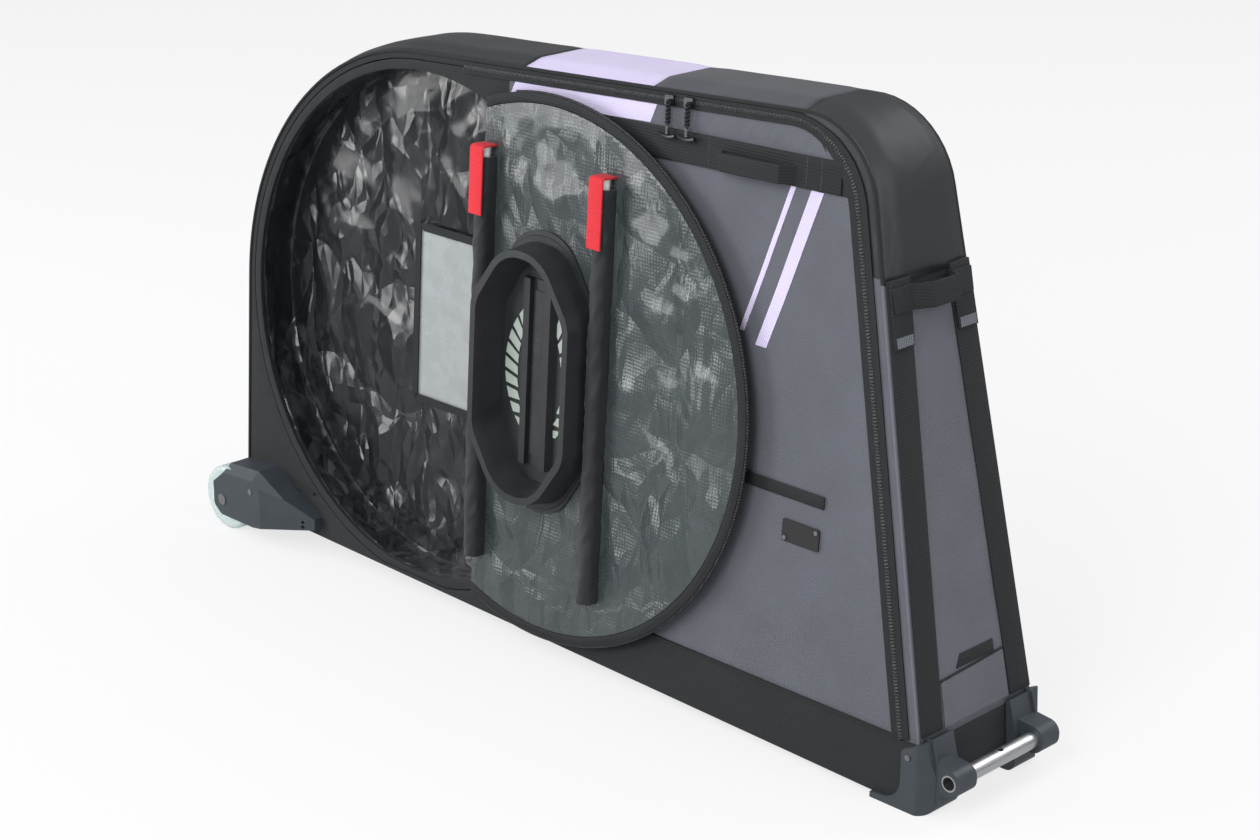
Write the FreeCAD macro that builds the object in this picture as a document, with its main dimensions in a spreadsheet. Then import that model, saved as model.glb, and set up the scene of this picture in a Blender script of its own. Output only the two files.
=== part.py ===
import FreeCAD, Part
import math
import os
import Sketcher

# Soft bike travel case, in millimetres. +X points to the pull bar, +Z up, the open round cover is at -Y.
# The origin lies on the floor, under the middle of the case.
# Names ending in share are ratios, names ending in angle are degrees, the rest are lengths.
DIMENSIONS = {
    # Outline of the case, seen from the side
    "rear_reach": 683, "arch_clearance": 10.83, "top_height": 834, "top_rise_share": 0.0524,
    "end_reach": 680, "end_lean_share": 0.2019, "hood_radius": 120, "side_half_base": 119.5,
    "side_lean_share": 0.058, "shell_thickness": 5, "panel_thickness": 6, "seam_gap": 0.3, "overrun": 20,
    # Seams of the top band
    "lilac_ahead": 56, "lilac_length": 245, "hood_length": 260, "hood_drop": 167,
    # Base tray and board
    "tray_height": 93, "tray_bottom_rear": 31, "tray_bottom_front": 5, "tray_wall": 6, "tray_floor": 5,
    "tray_rear_cut": 25, "tray_front_step": 8, "tray_corner_radius": 16, "notch_floor": 30.5,
    "board_thickness": 4, "board_rear_gap": 70, "board_front_gap": 40, "board_side_gap": 3,
    # Near side panel and the zip round it
    "zip_frame_width": 8.2, "zip_front": 16, "zip_gap": 1.6, "panel_floor": 32, "lobe_step": 2,
    # Wheel pockets
    "opening_inset": 28, "hinge_ahead": 135, "chord_gap": 1.8, "liner_inset": 25, "liner_wall": 2.5,
    "pocket_depth": 56, "hub_plate_width": 150, "hub_plate_height": 270, "hub_plate_thickness": 3,
    "hub_plate_radius": 14,
    # Round covers
    "cover_inset": 16, "cover_thickness": 4, "rim_width": 14, "rim_thickness": 7.5, "cover_standoff": 1,
    "cover_hinge_out": 6.5, "cover_open_angle": 178.7, "welt_radius": 1.5, "welt_web": 1.2,
    "welt_tape": 9, "welt_margin": 12,
    # Rods in their sleeves
    "rod_offset": 119, "rod_radius": 8, "rod_fit": 0.3, "sleeve_width": 25, "sleeve_foot_gap": 54,
    "sleeve_head_gap": 69, "rod_proud": 14, "rod_inset": 10,
    # Red closing tabs
    "tab_width": 26, "tab_thickness": 3, "tab_length": 95, "tab_gap": 0.6, "tab_root_gap": 0.8,
    "tab_bend_radius": 7,
    # Moulded hub cup
    "cup_height": 372, "cup_depth": 48, "cup_taper": 6, "cup_wall": 10, "cup_floor": 4, "cup_draft": 14,
    "cup_side_share": 0.27, "cup_nose_share": 0.2, "cup_nose_round_share": 0.92,
    "cup_side_round_share": 0.26, "cup_step": 1, "flange_gap": 0.5, "flange_reach": 16,
    "flange_thickness": 3, "lip_step": 8, "lip_rise": 5, "channel_width": 66, "channel_crest": 12,
    "channel_rise": 10, "channel_length": 268,
    # Carry handles
    "handle_height": 42, "handle_band_gap": 52, "handle_drop": 67, "handle_tilt_share": 0.027,
    "handle_start_share": 0.2196, "handle_end_share": 0.7137, "handle_rise": 19, "grip_height": 24,
    "grip_drop": 6, "webbing": 2.5, "grip_webbing": 3.5, "handle_bend": 14,
    # Small pocket, label patch and rivets on the near panel
    "pocket_zip_length": 247, "pocket_zip_behind": 183, "pocket_zip_z": 363, "pocket_zip_height": 17,
    "pocket_zip_thickness": 1.5, "patch_behind": 218, "patch_z": 311, "patch_width": 62,
    "patch_height": 30, "patch_thickness": 1.6, "rivet_radius": 3, "rivet_rise": 1.4, "rivet_margin": 5,
    # Zip sliders and pulls
    "slider_ahead": 340, "slider_spacing": 34, "slider_length": 16, "slider_height": 13, "slider_rise": 6,
    "slider_gap": 0.5, "pull_width": 5, "pull_length": 50, "pull_thickness": 5, "toggle_width": 27,
    "toggle_height": 9, "toggle_bar": 4.5, "pull_head": 1.5, "pocket_slider_behind": 350,
    "pocket_slider_length": 13, "pocket_slider_height": 9, "pocket_slider_rise": 4, "slider_round": 1.8,
    # End of the case: straps, handle and card tab
    "strap_width": 42, "strap_thickness": 3, "strap_top_y": 58.5, "strap_bottom_y": 91, "strap_bottom": 9,
    "tail_length": 86, "tail_width": 38, "tail_thickness": 4, "end_handle_rise": 24,
    "end_handle_height": 32, "end_handle_drop": 26, "card_tab_y": 8, "card_tab_width": 78,
    "card_tab_height": 17, "card_tab_up": 76, "card_tab_thickness": 2.5, "card_tab_slope": 10,
    # Feet and pull bar
    "bar_ahead": 39.5, "bar_z": 51.5, "bar_radius": 11, "bar_wall": 2, "bar_half_length": 105,
    "bar_fit": 0.2, "bar_hole_radius": 4.5, "ear_radius": 17, "ear_width": 36, "ear_flare": 5,
    "foot_width": 46, "foot_back": 70, "foot_wall": 13, "foot_rise": 7, "foot_heel": 1.5, "foot_gap": 0.4,
    "foot_rib": 4, "foot_rib_depth": 5, "foot_toe_radius": 14, "foot_neck": 22, "foot_neck_drop": 8,
    "foot_neck_radius": 30, "foot_cheek": 5, "foot_bevel": 18, "foot_corner_radius": 8,
    "foot_screw_radius": 4, "foot_screw_rise": 2, "foot_screw_drop": 16,
    # Rollers and their housings
    "roller_behind": 2, "roller_radius": 51.5, "roller_width": 37, "roller_core_radius": 34,
    "tyre_round": 7, "core_web": 9, "core_hub_radius": 13, "core_rim": 5, "axle_radius": 5,
    "axle_fit": 0.05, "axle_head_radius": 9, "axle_head_rise": 1.6, "housing_face": 166.7,
    "housing_cheek": 6.5, "housing_inner_cheek": 3, "roller_room": 3.5, "housing_top": 110,
    "nose_ahead": 187, "housing_nose_low": 42, "housing_nose_high": 60, "hip_ahead": 76,
    "housing_hip_height": 115, "housing_rear": 22, "housing_chin": 25, "taper_ahead": 95,
    "housing_nose_width": 12, "housing_round": 12, "housing_bevel": 12, "housing_bevel_depth": 16,
    "slot_radius": 3, "slot_spacing": 7.5, "slot_behind": 20, "slot_z": 52, "slot_depth": 34,
    "screw_radius": 5, "screw_rise": 1.2, "screw_ahead": 73, "screw_z": 84,
    # Inside: frame block and its straps
    "block_x": 260, "block_length": 260, "block_width": 76, "block_height": 70, "block_slot": 30,
    "block_slot_depth": 34, "tie_width": 38, "tie_thickness": 2.5, "tie_gap": 0.4, "tie_spacing": 170,
}

NEAR = -1
FAR = 1
SIDE_NAMES = {NEAR: "near", FAR: "far"}

doc = FreeCAD.newDocument("bike_travel_case")
sheet = doc.addObject("Spreadsheet::Sheet", "dims")
nodes = []


class Size:
    """A size that carries its value and the sheet expression that gives it."""

    def __init__(self, value, text):
        self.value = value
        self.text = text

    def __add__(self, other):
        other = as_size(other)
        return Size(self.value + other.value, f"({self.text} + {other.text})")

    def __sub__(self, other):
        other = as_size(other)
        return Size(self.value - other.value, f"({self.text} - {other.text})")

    def __mul__(self, other):
        other = as_size(other)
        return Size(self.value * other.value, f"({self.text} * {other.text})")

    def __truediv__(self, other):
        other = as_size(other)
        return Size(self.value / other.value, f"({self.text} / {other.text})")

    def __neg__(self):
        return Size(-self.value, f"(0 - {self.text})")

    def __radd__(self, other):
        return as_size(other) + self

    def __rsub__(self, other):
        return as_size(other) - self

    def __rmul__(self, other):
        return as_size(other) * self


def as_size(item):
    """Give a plain number the form of a size."""
    return item if isinstance(item, Size) else Size(float(item), repr(float(item)))


def slant(share):
    """Length along a slope for one unit across it, where share is the slope's rise."""
    return Size(math.sqrt(1 + share.value ** 2), f"sqrt(1 + {share.text} * {share.text})")


class Dims:
    """The sheet's cells by name, each as a size."""


for row, (alias, number) in enumerate(DIMENSIONS.items(), start=1):
    sheet.set(f"A{row}", str(number))
    sheet.setAlias(f"A{row}", alias)
    setattr(Dims, alias, Size(float(number), f"dims.{alias}"))
doc.recompute()
d = Dims


def derive(alias, size):
    """Add a cell whose formula gives a further size from the others."""
    row = len(DIMENSIONS) + 1
    while sheet.getContents(f"A{row}"):
        row += 1
    sheet.set(f"A{row}", "=" + size.text.replace("dims.", ""))
    sheet.setAlias(f"A{row}", alias)
    setattr(Dims, alias, Size(size.value, f"dims.{alias}"))


def leg(hypotenuse, other):
    """The second short side of a right-angled triangle."""
    value = math.sqrt(hypotenuse.value ** 2 - other.value ** 2)
    return Size(value, f"sqrt({hypotenuse.text} * {hypotenuse.text} - {other.text} * {other.text})")


# Sizes that follow from the others
rise_both = 1 + slant(d.top_rise_share) - d.top_rise_share
derive("arch_radius", (d.top_height - d.top_rise_share * d.rear_reach - d.arch_clearance) / rise_both)
derive("opening_radius", d.arch_radius - d.opening_inset)
derive("liner_radius", d.arch_radius - d.liner_inset)
derive("cover_radius", d.arch_radius - d.cover_inset)
derive("sheet_radius", d.cover_radius - d.rim_width - d.seam_gap)
derive("welt_length", 2 * leg(d.opening_radius, d.hinge_ahead) - d.welt_margin)
derive("sleeve_below", leg(d.sheet_radius, d.rod_offset) - d.sleeve_foot_gap)
derive("sleeve_above", leg(d.sheet_radius, d.rod_offset) - d.sleeve_head_gap)
derive("flange_width", 2 * (d.rod_offset - d.sleeve_width / 2 - d.flange_gap))
derive("cup_width", d.flange_width - 2 * d.cup_step)
derive("flange_height", d.cup_height + 2 * d.flange_reach)
derive("hood_start", d.end_reach - d.hood_length)
derive("hood_seam_height", d.top_height - d.hood_drop)
derive("handle_z", d.top_height - d.handle_drop)
derive("patch_x", d.end_reach - d.patch_behind)
derive("pocket_zip_end", d.end_reach - d.pocket_zip_behind)
derive("pocket_zip_start", d.pocket_zip_end - d.pocket_zip_length)
derive("pocket_slider_x", d.end_reach - d.pocket_slider_behind)
derive("bar_x", d.end_reach + d.bar_ahead)
derive("roller_x", d.rear_reach + d.roller_behind)
derive("housing_nose", d.roller_x - d.nose_ahead)
derive("housing_hip", d.roller_x - d.hip_ahead)
derive("housing_taper_start", d.roller_x - d.taper_ahead)
derive("screw_x", d.roller_x - d.screw_ahead)
doc.recompute()


# Document helpers

def node(thing, label):
    """Name a finished sub-part and keep it for the files."""
    thing.Label = label
    nodes.append(thing)
    return thing


def group(name, things):
    """Put like pieces together as one sub-part of separate solids."""
    result = doc.addObject("Part::Compound", name)
    result.Links = things
    return result


def keep_pieces(side, label, pieces):
    """Keep the near cover's pieces one by one, and the far cover's as a pair."""
    if side == FAR:
        node(group("far_" + label + "_pair", list(pieces.values())), f"far_{label}s")
        return
    for where, piece in pieces.items():
        node(piece, f"near_{label}_{where}")


def bind(thing, **sizes):
    """Bind properties of an object to sheet expressions."""
    for name, size in sizes.items():
        thing.setExpression(name, as_size(size).text)


def new_body(name, place=None):
    body = doc.addObject("PartDesign::Body", name)
    if place:
        body.Placement = place
    return body


def new_sketch(body, role, offset=None):
    """Add a sketch on one of the body's own origin planes, moved off it by offset."""
    sketch = body.newObject("Sketcher::SketchObject", body.Name + "_sketch")
    plane = [item for item in body.Origin.OriginFeatures if item.Role == role][0]
    sketch.AttachmentSupport = [(plane, "")]
    sketch.MapMode = "FlatFace"
    if offset is not None:
        sketch.setExpression("AttachmentOffset.Base.z", as_size(offset).text)
    return sketch


def dimension(sketch, kind, size, *where):
    """Add a driving dimension and bind it to its size."""
    size = as_size(size)
    index = sketch.addConstraint(Sketcher.Constraint(kind, *where, size.value))
    sketch.setExpression(f"Constraints[{index}]", size.text)


def pin_point(sketch, geometry, position, x, y):
    """Hold a sketch point at sizes x and y from the sketch's origin."""
    dimension(sketch, "DistanceX", x, -1, 1, geometry, position)
    dimension(sketch, "DistanceY", y, -1, 1, geometry, position)


def outline(sketch, corners):
    """Draw a closed outline through corners (x, y) or rounded corners (x, y, radius)."""
    corners = [tuple(as_size(item) for item in corner) for corner in corners]
    points = [FreeCAD.Vector(corner[0].value, corner[1].value, 0) for corner in corners]
    count = len(corners)
    starts = list(points)
    ends = list(points)
    arcs = {}
    for index, corner in enumerate(corners):
        if len(corner) < 3:
            continue
        here = points[index]
        back = (points[index - 1] - here).normalize()
        ahead = (points[(index + 1) % count] - here).normalize()
        reach = corner[2].value / math.tan(back.getAngle(ahead) / 2)
        starts[index] = here + ahead * reach
        ends[index] = here + back * reach
        middle = here + (back + ahead).normalize() * math.hypot(reach, corner[2].value)
        arcs[index] = (middle, back.cross(ahead).z < 0)
    lines = []
    for index in range(count):
        following = (index + 1) % count
        lines.append(sketch.addGeometry(Part.LineSegment(starts[index], ends[following])))
    for index, corner in enumerate(corners):
        before = lines[index - 1]
        after = lines[index]
        if index not in arcs:
            sketch.addConstraint(Sketcher.Constraint("Coincident", before, 2, after, 1))
            pin_point(sketch, after, 1, corner[0], corner[1])
            continue
        middle, left_turn = arcs[index]
        first, last = (ends[index], starts[index]) if left_turn else (starts[index], ends[index])
        angles = [math.atan2(point.y - middle.y, point.x - middle.x) for point in (first, last)]
        circle = Part.Circle(middle, FreeCAD.Vector(0, 0, 1), corner[2].value)
        arc = sketch.addGeometry(Part.ArcOfCircle(circle, *angles))
        mark = sketch.addGeometry(Part.Point(points[index]), True)
        pin_point(sketch, mark, 1, corner[0], corner[1])
        sketch.addConstraint(Sketcher.Constraint("PointOnObject", mark, 1, before))
        sketch.addConstraint(Sketcher.Constraint("PointOnObject", mark, 1, after))
        into, out = (1, 2) if left_turn else (2, 1)
        sketch.addConstraint(Sketcher.Constraint("Tangent", before, 2, arc, into))
        sketch.addConstraint(Sketcher.Constraint("Tangent", after, 1, arc, out))
        dimension(sketch, "Radius", corner[2], arc)


def round_hole(sketch, x, y, radius):
    """Draw a circle by its centre and radius."""
    x, y, radius = as_size(x), as_size(y), as_size(radius)
    middle = FreeCAD.Vector(x.value, y.value, 0)
    circle = sketch.addGeometry(Part.Circle(middle, FreeCAD.Vector(0, 0, 1), radius.value))
    pin_point(sketch, circle, 3, x, y)
    dimension(sketch, "Radius", radius, circle)


def chord_disc(sketch, x, y, radius, chord_x):
    """Draw a disc that a straight upright edge cuts off ahead of its middle."""
    reach = math.acos((chord_x.value - x.value) / radius.value)
    middle = FreeCAD.Vector(x.value, y.value, 0)
    circle = Part.Circle(middle, FreeCAD.Vector(0, 0, 1), radius.value)
    arc = sketch.addGeometry(Part.ArcOfCircle(circle, reach, 2 * math.pi - reach))
    high = sketch.getPoint(arc, 1)
    low = sketch.getPoint(arc, 2)
    line = sketch.addGeometry(Part.LineSegment(low, high))
    sketch.addConstraint(Sketcher.Constraint("Coincident", arc, 2, line, 1))
    sketch.addConstraint(Sketcher.Constraint("Coincident", line, 2, arc, 1))
    sketch.addConstraint(Sketcher.Constraint("Vertical", line))
    pin_point(sketch, arc, 3, x, y)
    dimension(sketch, "Radius", radius, arc)
    dimension(sketch, "DistanceX", chord_x, -1, 1, line, 1)


def pad(body, sketch, length, both=False, backwards=False):
    feature = body.newObject("PartDesign::Pad", body.Name + "_pad")
    feature.Profile = sketch
    feature.SideType = "Symmetric" if both else "One side"
    feature.Reversed = backwards
    bind(feature, Length=length)
    return feature


def pocket(body, sketch, length, both=False, backwards=False):
    """Cut a sketch into the body, against its normal unless backwards."""
    doc.recompute()
    before = body.Shape.Volume
    feature = body.newObject("PartDesign::Pocket", body.Name + "_pocket")
    feature.Profile = sketch
    feature.SideType = "Symmetric" if both else "One side"
    feature.Reversed = backwards
    bind(feature, Length=length)
    doc.recompute()
    if body.Shape.Volume >= before:
        raise RuntimeError(f"{body.Label}: a pocket cuts nothing")
    return feature


def turn(body, sketch):
    """Turn a sketch on the XY plane a full round about the body's Y axis."""
    feature = body.newObject("PartDesign::Revolution", body.Name + "_turn")
    feature.Profile = sketch
    axis = [item for item in body.Origin.OriginFeatures if item.Role == "Y_Axis"][0]
    feature.ReferenceAxis = (axis, [""])
    feature.Angle = 360
    return feature


def loft(body, kind, sketches):
    feature = body.newObject("PartDesign::" + kind, body.Name + "_loft")
    feature.Profile = sketches[0]
    feature.Sections = sketches[1:]
    feature.Ruled = True
    return feature


def common(name, *things):
    result = doc.addObject("Part::MultiCommon", name)
    result.Shapes = list(things)
    return result


def fuse(name, *things):
    result = doc.addObject("Part::MultiFuse", name)
    result.Shapes = list(things)
    return result


def cut(name, base, tool):
    result = doc.addObject("Part::Cut", name)
    result.Base = base
    result.Tool = tool
    return result


def cylinder(name, radius, height, place):
    result = doc.addObject("Part::Cylinder", name)
    bind(result, Radius=radius, Height=height)
    result.Placement = place
    return result


def at(x, y, z, axis=None, angle=0):
    """A placement at sizes x, y, z, turned by an angle about an axis."""
    base = FreeCAD.Vector(*(as_size(item).value for item in (x, y, z)))
    turned = FreeCAD.Rotation(FreeCAD.Vector(*axis), angle) if axis else FreeCAD.Rotation()
    return FreeCAD.Placement(base, turned)


ALONG_X = (1, 0, 0)
ALONG_Y = (0, 1, 0)
ALONG_Z = (0, 0, 1)


# Lines that several pieces share

def half_at(z):
    """Half the width of the case at a height."""
    return d.side_half_base - d.side_lean_share * z


def floor_at(x):
    """Height of the tray's underside at a place along the case."""
    fall_share = (d.tray_bottom_rear - d.tray_bottom_front) / (d.rear_reach + d.end_reach)
    return d.tray_bottom_rear - fall_share * (x + d.rear_reach)


def end_at(z, inset=0):
    """Place of the leaning end face at a height."""
    return d.end_reach - inset * slant(d.end_lean_share) - d.end_lean_share * (z - d.tray_height)


def top_at(x, inset=0):
    """Height of the rising top at a place along the case."""
    return d.top_height - inset * slant(d.top_rise_share) + d.top_rise_share * x


def hood_corner(inset=0, front=0):
    """Where the top's line and the end's line, drawn in further by front, would meet without rounding."""
    lean = d.end_lean_share
    x = end_at(d.tray_height, inset + front) + lean * (d.tray_height - top_at(0, inset))
    x = x / (lean * d.top_rise_share + 1)
    return x, top_at(x, inset)


def shell_outline(inset, bottom):
    """Corners of the case's side outline, drawn in by an inset and ending at a bottom height."""
    rear = inset - d.rear_reach
    corner_x, corner_z = hood_corner(inset)
    return [(rear, bottom), (rear, top_at(rear, inset), d.arch_radius - inset),
            (corner_x, corner_z, d.hood_radius - inset), (end_at(bottom, inset), bottom)]


arch_x = d.arch_radius - d.rear_reach
arch_z = top_at(arch_x) - d.arch_radius * slant(d.top_rise_share)
arch_v = arch_z * slant(d.side_lean_share)
hinge_x = arch_x + d.hinge_ahead
panel_inset = d.shell_thickness + d.seam_gap + d.zip_frame_width + d.zip_gap
lobe_radius = d.arch_radius - panel_inset
derive("lilac_start", hinge_x + d.lilac_ahead)
derive("lilac_end", d.lilac_start + d.lilac_length)
derive("slider_x", hinge_x + d.slider_ahead)
derive("handle_band_start", hinge_x + d.welt_tape + d.chord_gap)
derive("handle_band_end", end_at(d.handle_z + d.handle_height / 2) - d.handle_band_gap)
handle_from = d.slider_x + d.slider_spacing
derive("handle_start", handle_from + d.handle_start_share * (d.handle_band_end - handle_from))
derive("handle_end", handle_from + d.handle_end_share * (d.handle_band_end - handle_from))
lean_angle = math.degrees(math.atan(d.side_lean_share.value))
end_angle = math.degrees(math.atan(d.end_lean_share.value))
rise_angle = math.degrees(math.atan(d.top_rise_share.value))
case_span = d.rear_reach + d.end_reach + d.overrun
across = d.side_half_base + d.overrun


def side_frame(side):
    """Frame of a leaning side: its outer face is y = 0, and its z runs up the lean."""
    return at(0, side * d.side_half_base, 0, ALONG_X, side * lean_angle)


def end_frame():
    """Frame of the leaning end: x points out of it, and z runs up it from the tray's top."""
    return at(d.end_reach, 0, d.tray_height, ALONG_Y, -end_angle)


def cover_frame(side):
    """Frame of a round cover: the near one is folded back about its hinge, the far one is shut."""
    place = side_frame(side)
    if side == FAR:
        return place
    hinge = at(hinge_x, side * d.cover_hinge_out, 0)
    swing = at(0, 0, 0, ALONG_Z, d.cover_open_angle.value)
    return place * hinge * swing * hinge.inverse()


def up_side(z):
    """Distance up the leaning side that reaches a height."""
    return z * slant(d.side_lean_share)


def plate(name, side, frame, inner, outer):
    """Start a flat piece between two distances out of the side; gives its body, sketch and thickness."""
    shift = -inner if side == NEAR else outer
    body = new_body(name, frame * at(0, shift, 0))
    return body, new_sketch(body, "XZ_Plane"), outer - inner


def slab(name, side, inner, outer, bottom):
    """A leaning slab that trims upright outlines to one layer of a side."""
    box = doc.addObject("Part::Box", name)
    bind(box, Length=2 * case_span, Width=outer - inner, Height=d.top_height + d.hood_radius)
    shift = -outer if side == NEAR else inner
    box.Placement = side_frame(side) * at(-case_span, shift, bottom)
    return box


def section(name, inset):
    """The tapering section of the case, wide at the floor and narrow at the top, drawn in by an inset."""
    wedge = doc.addObject("Part::Wedge", name)
    low = half_at(-d.overrun) - inset
    tall = d.top_height + d.hood_radius
    high = half_at(tall) - inset
    bind(wedge, Xmin=-case_span, Xmax=case_span, X2min=-case_span, X2max=case_span)
    bind(wedge, Ymin=-d.overrun, Ymax=tall, Zmin=-low, Zmax=low, Z2min=-high, Z2max=high)
    wedge.Placement = at(0, 0, 0, ALONG_X, 90)
    return wedge


outer_section = section("outer_section", as_size(0))
inner_section = section("inner_section", d.tray_wall)


# Base tray, with a round notch in each wall for the wheel pockets, and the board on its floor

def tray_outline(inset, floor, top):
    rear = inset - d.rear_reach
    rear_low = rear + d.tray_rear_cut
    front = end_at(d.tray_height, inset)
    front_low = front + d.tray_front_step
    return [(rear, top), (rear_low, floor_at(rear_low) + floor, d.tray_corner_radius),
            (front_low, floor_at(front_low) + floor, d.tray_corner_radius), (front, top)]


def make_tray():
    solid = new_body("tray_solid")
    sketch = new_sketch(solid, "XZ_Plane")
    outline(sketch, tray_outline(as_size(0), as_size(0), d.tray_height))
    pad(solid, sketch, 2 * across, both=True)
    hollow = new_body("tray_hollow")
    sketch = new_sketch(hollow, "XZ_Plane")
    outline(sketch, tray_outline(d.tray_wall, d.tray_floor, d.tray_height + d.overrun))
    pad(hollow, sketch, 2 * across, both=True)
    notch = new_body("pocket_notch")
    sketch = new_sketch(notch, "XZ_Plane")
    round_hole(sketch, arch_x, arch_z, lobe_radius + d.lobe_step)
    pad(notch, sketch, 2 * across, both=True)
    trim = new_sketch(notch, "XZ_Plane")
    far = arch_x + d.arch_radius
    outline(trim, [(-d.rear_reach, -d.overrun), (far, -d.overrun), (far, d.notch_floor),
                   (-d.rear_reach, d.notch_floor)])
    pocket(notch, trim, 2 * across, both=True)
    block = common("tray_block", solid, outer_section)
    trough = cut("tray_trough", block, common("tray_room", hollow, inner_section))
    node(cut("tray_notched", trough, notch), "base_tray")


def make_floor_board():
    body = new_body("board")
    rear = d.board_rear_gap - d.rear_reach
    front = d.end_reach - d.board_front_gap
    sketch = new_sketch(body, "XZ_Plane")
    low = d.tray_floor
    high = d.tray_floor + d.board_thickness
    outline(sketch, [(rear, floor_at(rear) + low), (front, floor_at(front) + low),
                     (front, floor_at(front) + high), (rear, floor_at(rear) + high)])
    width = half_at(floor_at(rear) + high) - d.tray_wall - d.board_side_gap
    pad(body, sketch, 2 * width, both=True)
    node(body, "floor_board")


# Padded band over the rear, top and end, cut at its seams into the pieces it is sewn from

def make_band():
    band = new_body("shell_band")
    sketch = new_sketch(band, "XZ_Plane")
    outline(sketch, shell_outline(as_size(0), d.tray_height))
    pad(band, sketch, 2 * across, both=True)
    sketch = new_sketch(band, "XZ_Plane")
    outline(sketch, shell_outline(d.shell_thickness, d.tray_height - d.overrun))
    pocket(band, sketch, 2 * across, both=True)
    rear = -d.rear_reach - d.overrun
    front = d.end_reach + d.overrun
    low = d.tray_height - d.overrun
    high = d.top_height + d.hood_radius
    zones = {
        "rear_arch": (rear, d.lilac_start, low, high),
        "top_panel_lilac": (d.lilac_start, d.lilac_end, d.hood_seam_height, high),
        "top_panel_grey": (d.lilac_end, d.hood_start, d.hood_seam_height, high),
        "front_hood": (d.hood_start, front, d.hood_seam_height, high),
        "end_panel": (d.lilac_end, front, low, d.hood_seam_height),
    }
    for label, (start, end, bottom, top) in zones.items():
        zone = doc.addObject("Part::Box", label + "_zone")
        bind(zone, Length=end - start, Width=2 * across, Height=top - bottom)
        zone.Placement = at(start, -across, bottom)
        node(common(label + "_sewn", band, outer_section, zone), label)


# Side panels: the near one is the door of the main compartment, the far one is sewn in

def opening_tool(side):
    name = SIDE_NAMES[side] + "_opening"
    body = new_body(name, side_frame(side))
    sketch = new_sketch(body, "XZ_Plane")
    chord_disc(sketch, arch_x, arch_v, d.opening_radius, hinge_x + d.chord_gap)
    pad(body, sketch, 2 * d.overrun, both=True)
    return body


def panel_blank(name, inset, bottom, lobe):
    """Upright outline of a side panel with the round lobe of its wheel pocket."""
    body = new_body(name)
    sketch = new_sketch(body, "XZ_Plane")
    corner_x, corner_z = hood_corner(inset, d.zip_front)
    corner_radius = d.hood_radius - d.shell_thickness + panel_inset - inset
    outline(sketch, [(arch_x, bottom), (arch_x, top_at(arch_x, inset)), (corner_x, corner_z, corner_radius),
                     (end_at(bottom, inset + d.zip_front), bottom)])
    pad(body, sketch, 2 * across, both=True)
    sketch = new_sketch(body, "XZ_Plane")
    round_hole(sketch, arch_x, arch_z, lobe)
    pad(body, sketch, 2 * across, both=True)
    return body


def make_near_panel():
    blank = panel_blank("near_panel_blank", panel_inset, d.tray_height + d.lobe_step, lobe_radius)
    layer = slab("near_panel_layer", NEAR, -d.panel_thickness, as_size(0), d.panel_floor)
    layered = common("near_panel_sheet", blank, layer)
    node(cut("near_panel_open", layered, opening_tool(NEAR)), "near_side_panel")


def make_near_zip_frame():
    frame = new_body("zip_frame_blank")
    sketch = new_sketch(frame, "XZ_Plane")
    outline(sketch, shell_outline(d.shell_thickness + d.seam_gap, d.tray_height))
    pad(frame, sketch, 2 * across, both=True)
    room = panel_blank("near_panel_room", panel_inset - d.zip_gap, d.tray_height - d.overrun,
                       lobe_radius + d.zip_gap)
    layer = slab("zip_frame_layer", NEAR, -d.panel_thickness, as_size(0), as_size(0))
    node(cut("zip_frame_ring", common("zip_frame_sheet", frame, layer), room), "near_zip_frame")


def make_far_panel():
    inset = d.shell_thickness + d.seam_gap
    blank = new_body("far_panel_blank")
    sketch = new_sketch(blank, "XZ_Plane")
    outline(sketch, shell_outline(inset, d.tray_height))
    pad(blank, sketch, 2 * across, both=True)
    sketch = new_sketch(blank, "XZ_Plane")
    round_hole(sketch, arch_x, arch_z, lobe_radius)
    pad(blank, sketch, 2 * across, both=True)
    layer = slab("far_panel_layer", FAR, -d.panel_thickness, as_size(0), d.panel_floor)
    layered = common("far_panel_sheet", blank, layer)
    node(cut("far_panel_open", layered, opening_tool(FAR)), "far_side_panel")


# Wheel pocket: a round pan of tarpaulin behind the opening, with a plate where the hub bears

def make_pocket(side):
    name = SIDE_NAMES[side]
    body = new_body(name + "_liner", side_frame(side) * at(arch_x, 0, arch_v))
    sketch = new_sketch(body, "XY_Plane")
    inside = d.liner_radius - d.liner_wall
    mouth = -side * d.panel_thickness
    back = -side * (d.panel_thickness + d.pocket_depth)
    face = -side * (d.panel_thickness + d.pocket_depth - d.liner_wall)
    outline(sketch, [(0, back), (d.liner_radius, back), (d.liner_radius, mouth), (inside, mouth),
                     (inside, face), (0, face)])
    turn(body, sketch)
    node(body, name + "_pocket_liner")
    lining = d.liner_wall - d.panel_thickness - d.pocket_depth
    hub, sketch, thick = plate(name + "_hub", side, side_frame(side), lining, lining + d.hub_plate_thickness)
    outline(sketch, box_corners(arch_x, arch_v, d.hub_plate_width, d.hub_plate_height, d.hub_plate_radius))
    pad(hub, sketch, thick)
    node(hub, name + "_hub_plate")


def box_corners(x, y, width, height, radius=None):
    """Corners of an upright rectangle about its middle."""
    steps = [(-1, -1), (1, -1), (1, 1), (-1, 1)]
    tail = (radius,) if radius is not None else ()
    return [(x + width * sx / 2, y + height * sy / 2) + tail for sx, sy in steps]


# Round cover with its binding, rods, sleeves and hub cup, drawn shut and then set in its cover frame

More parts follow.
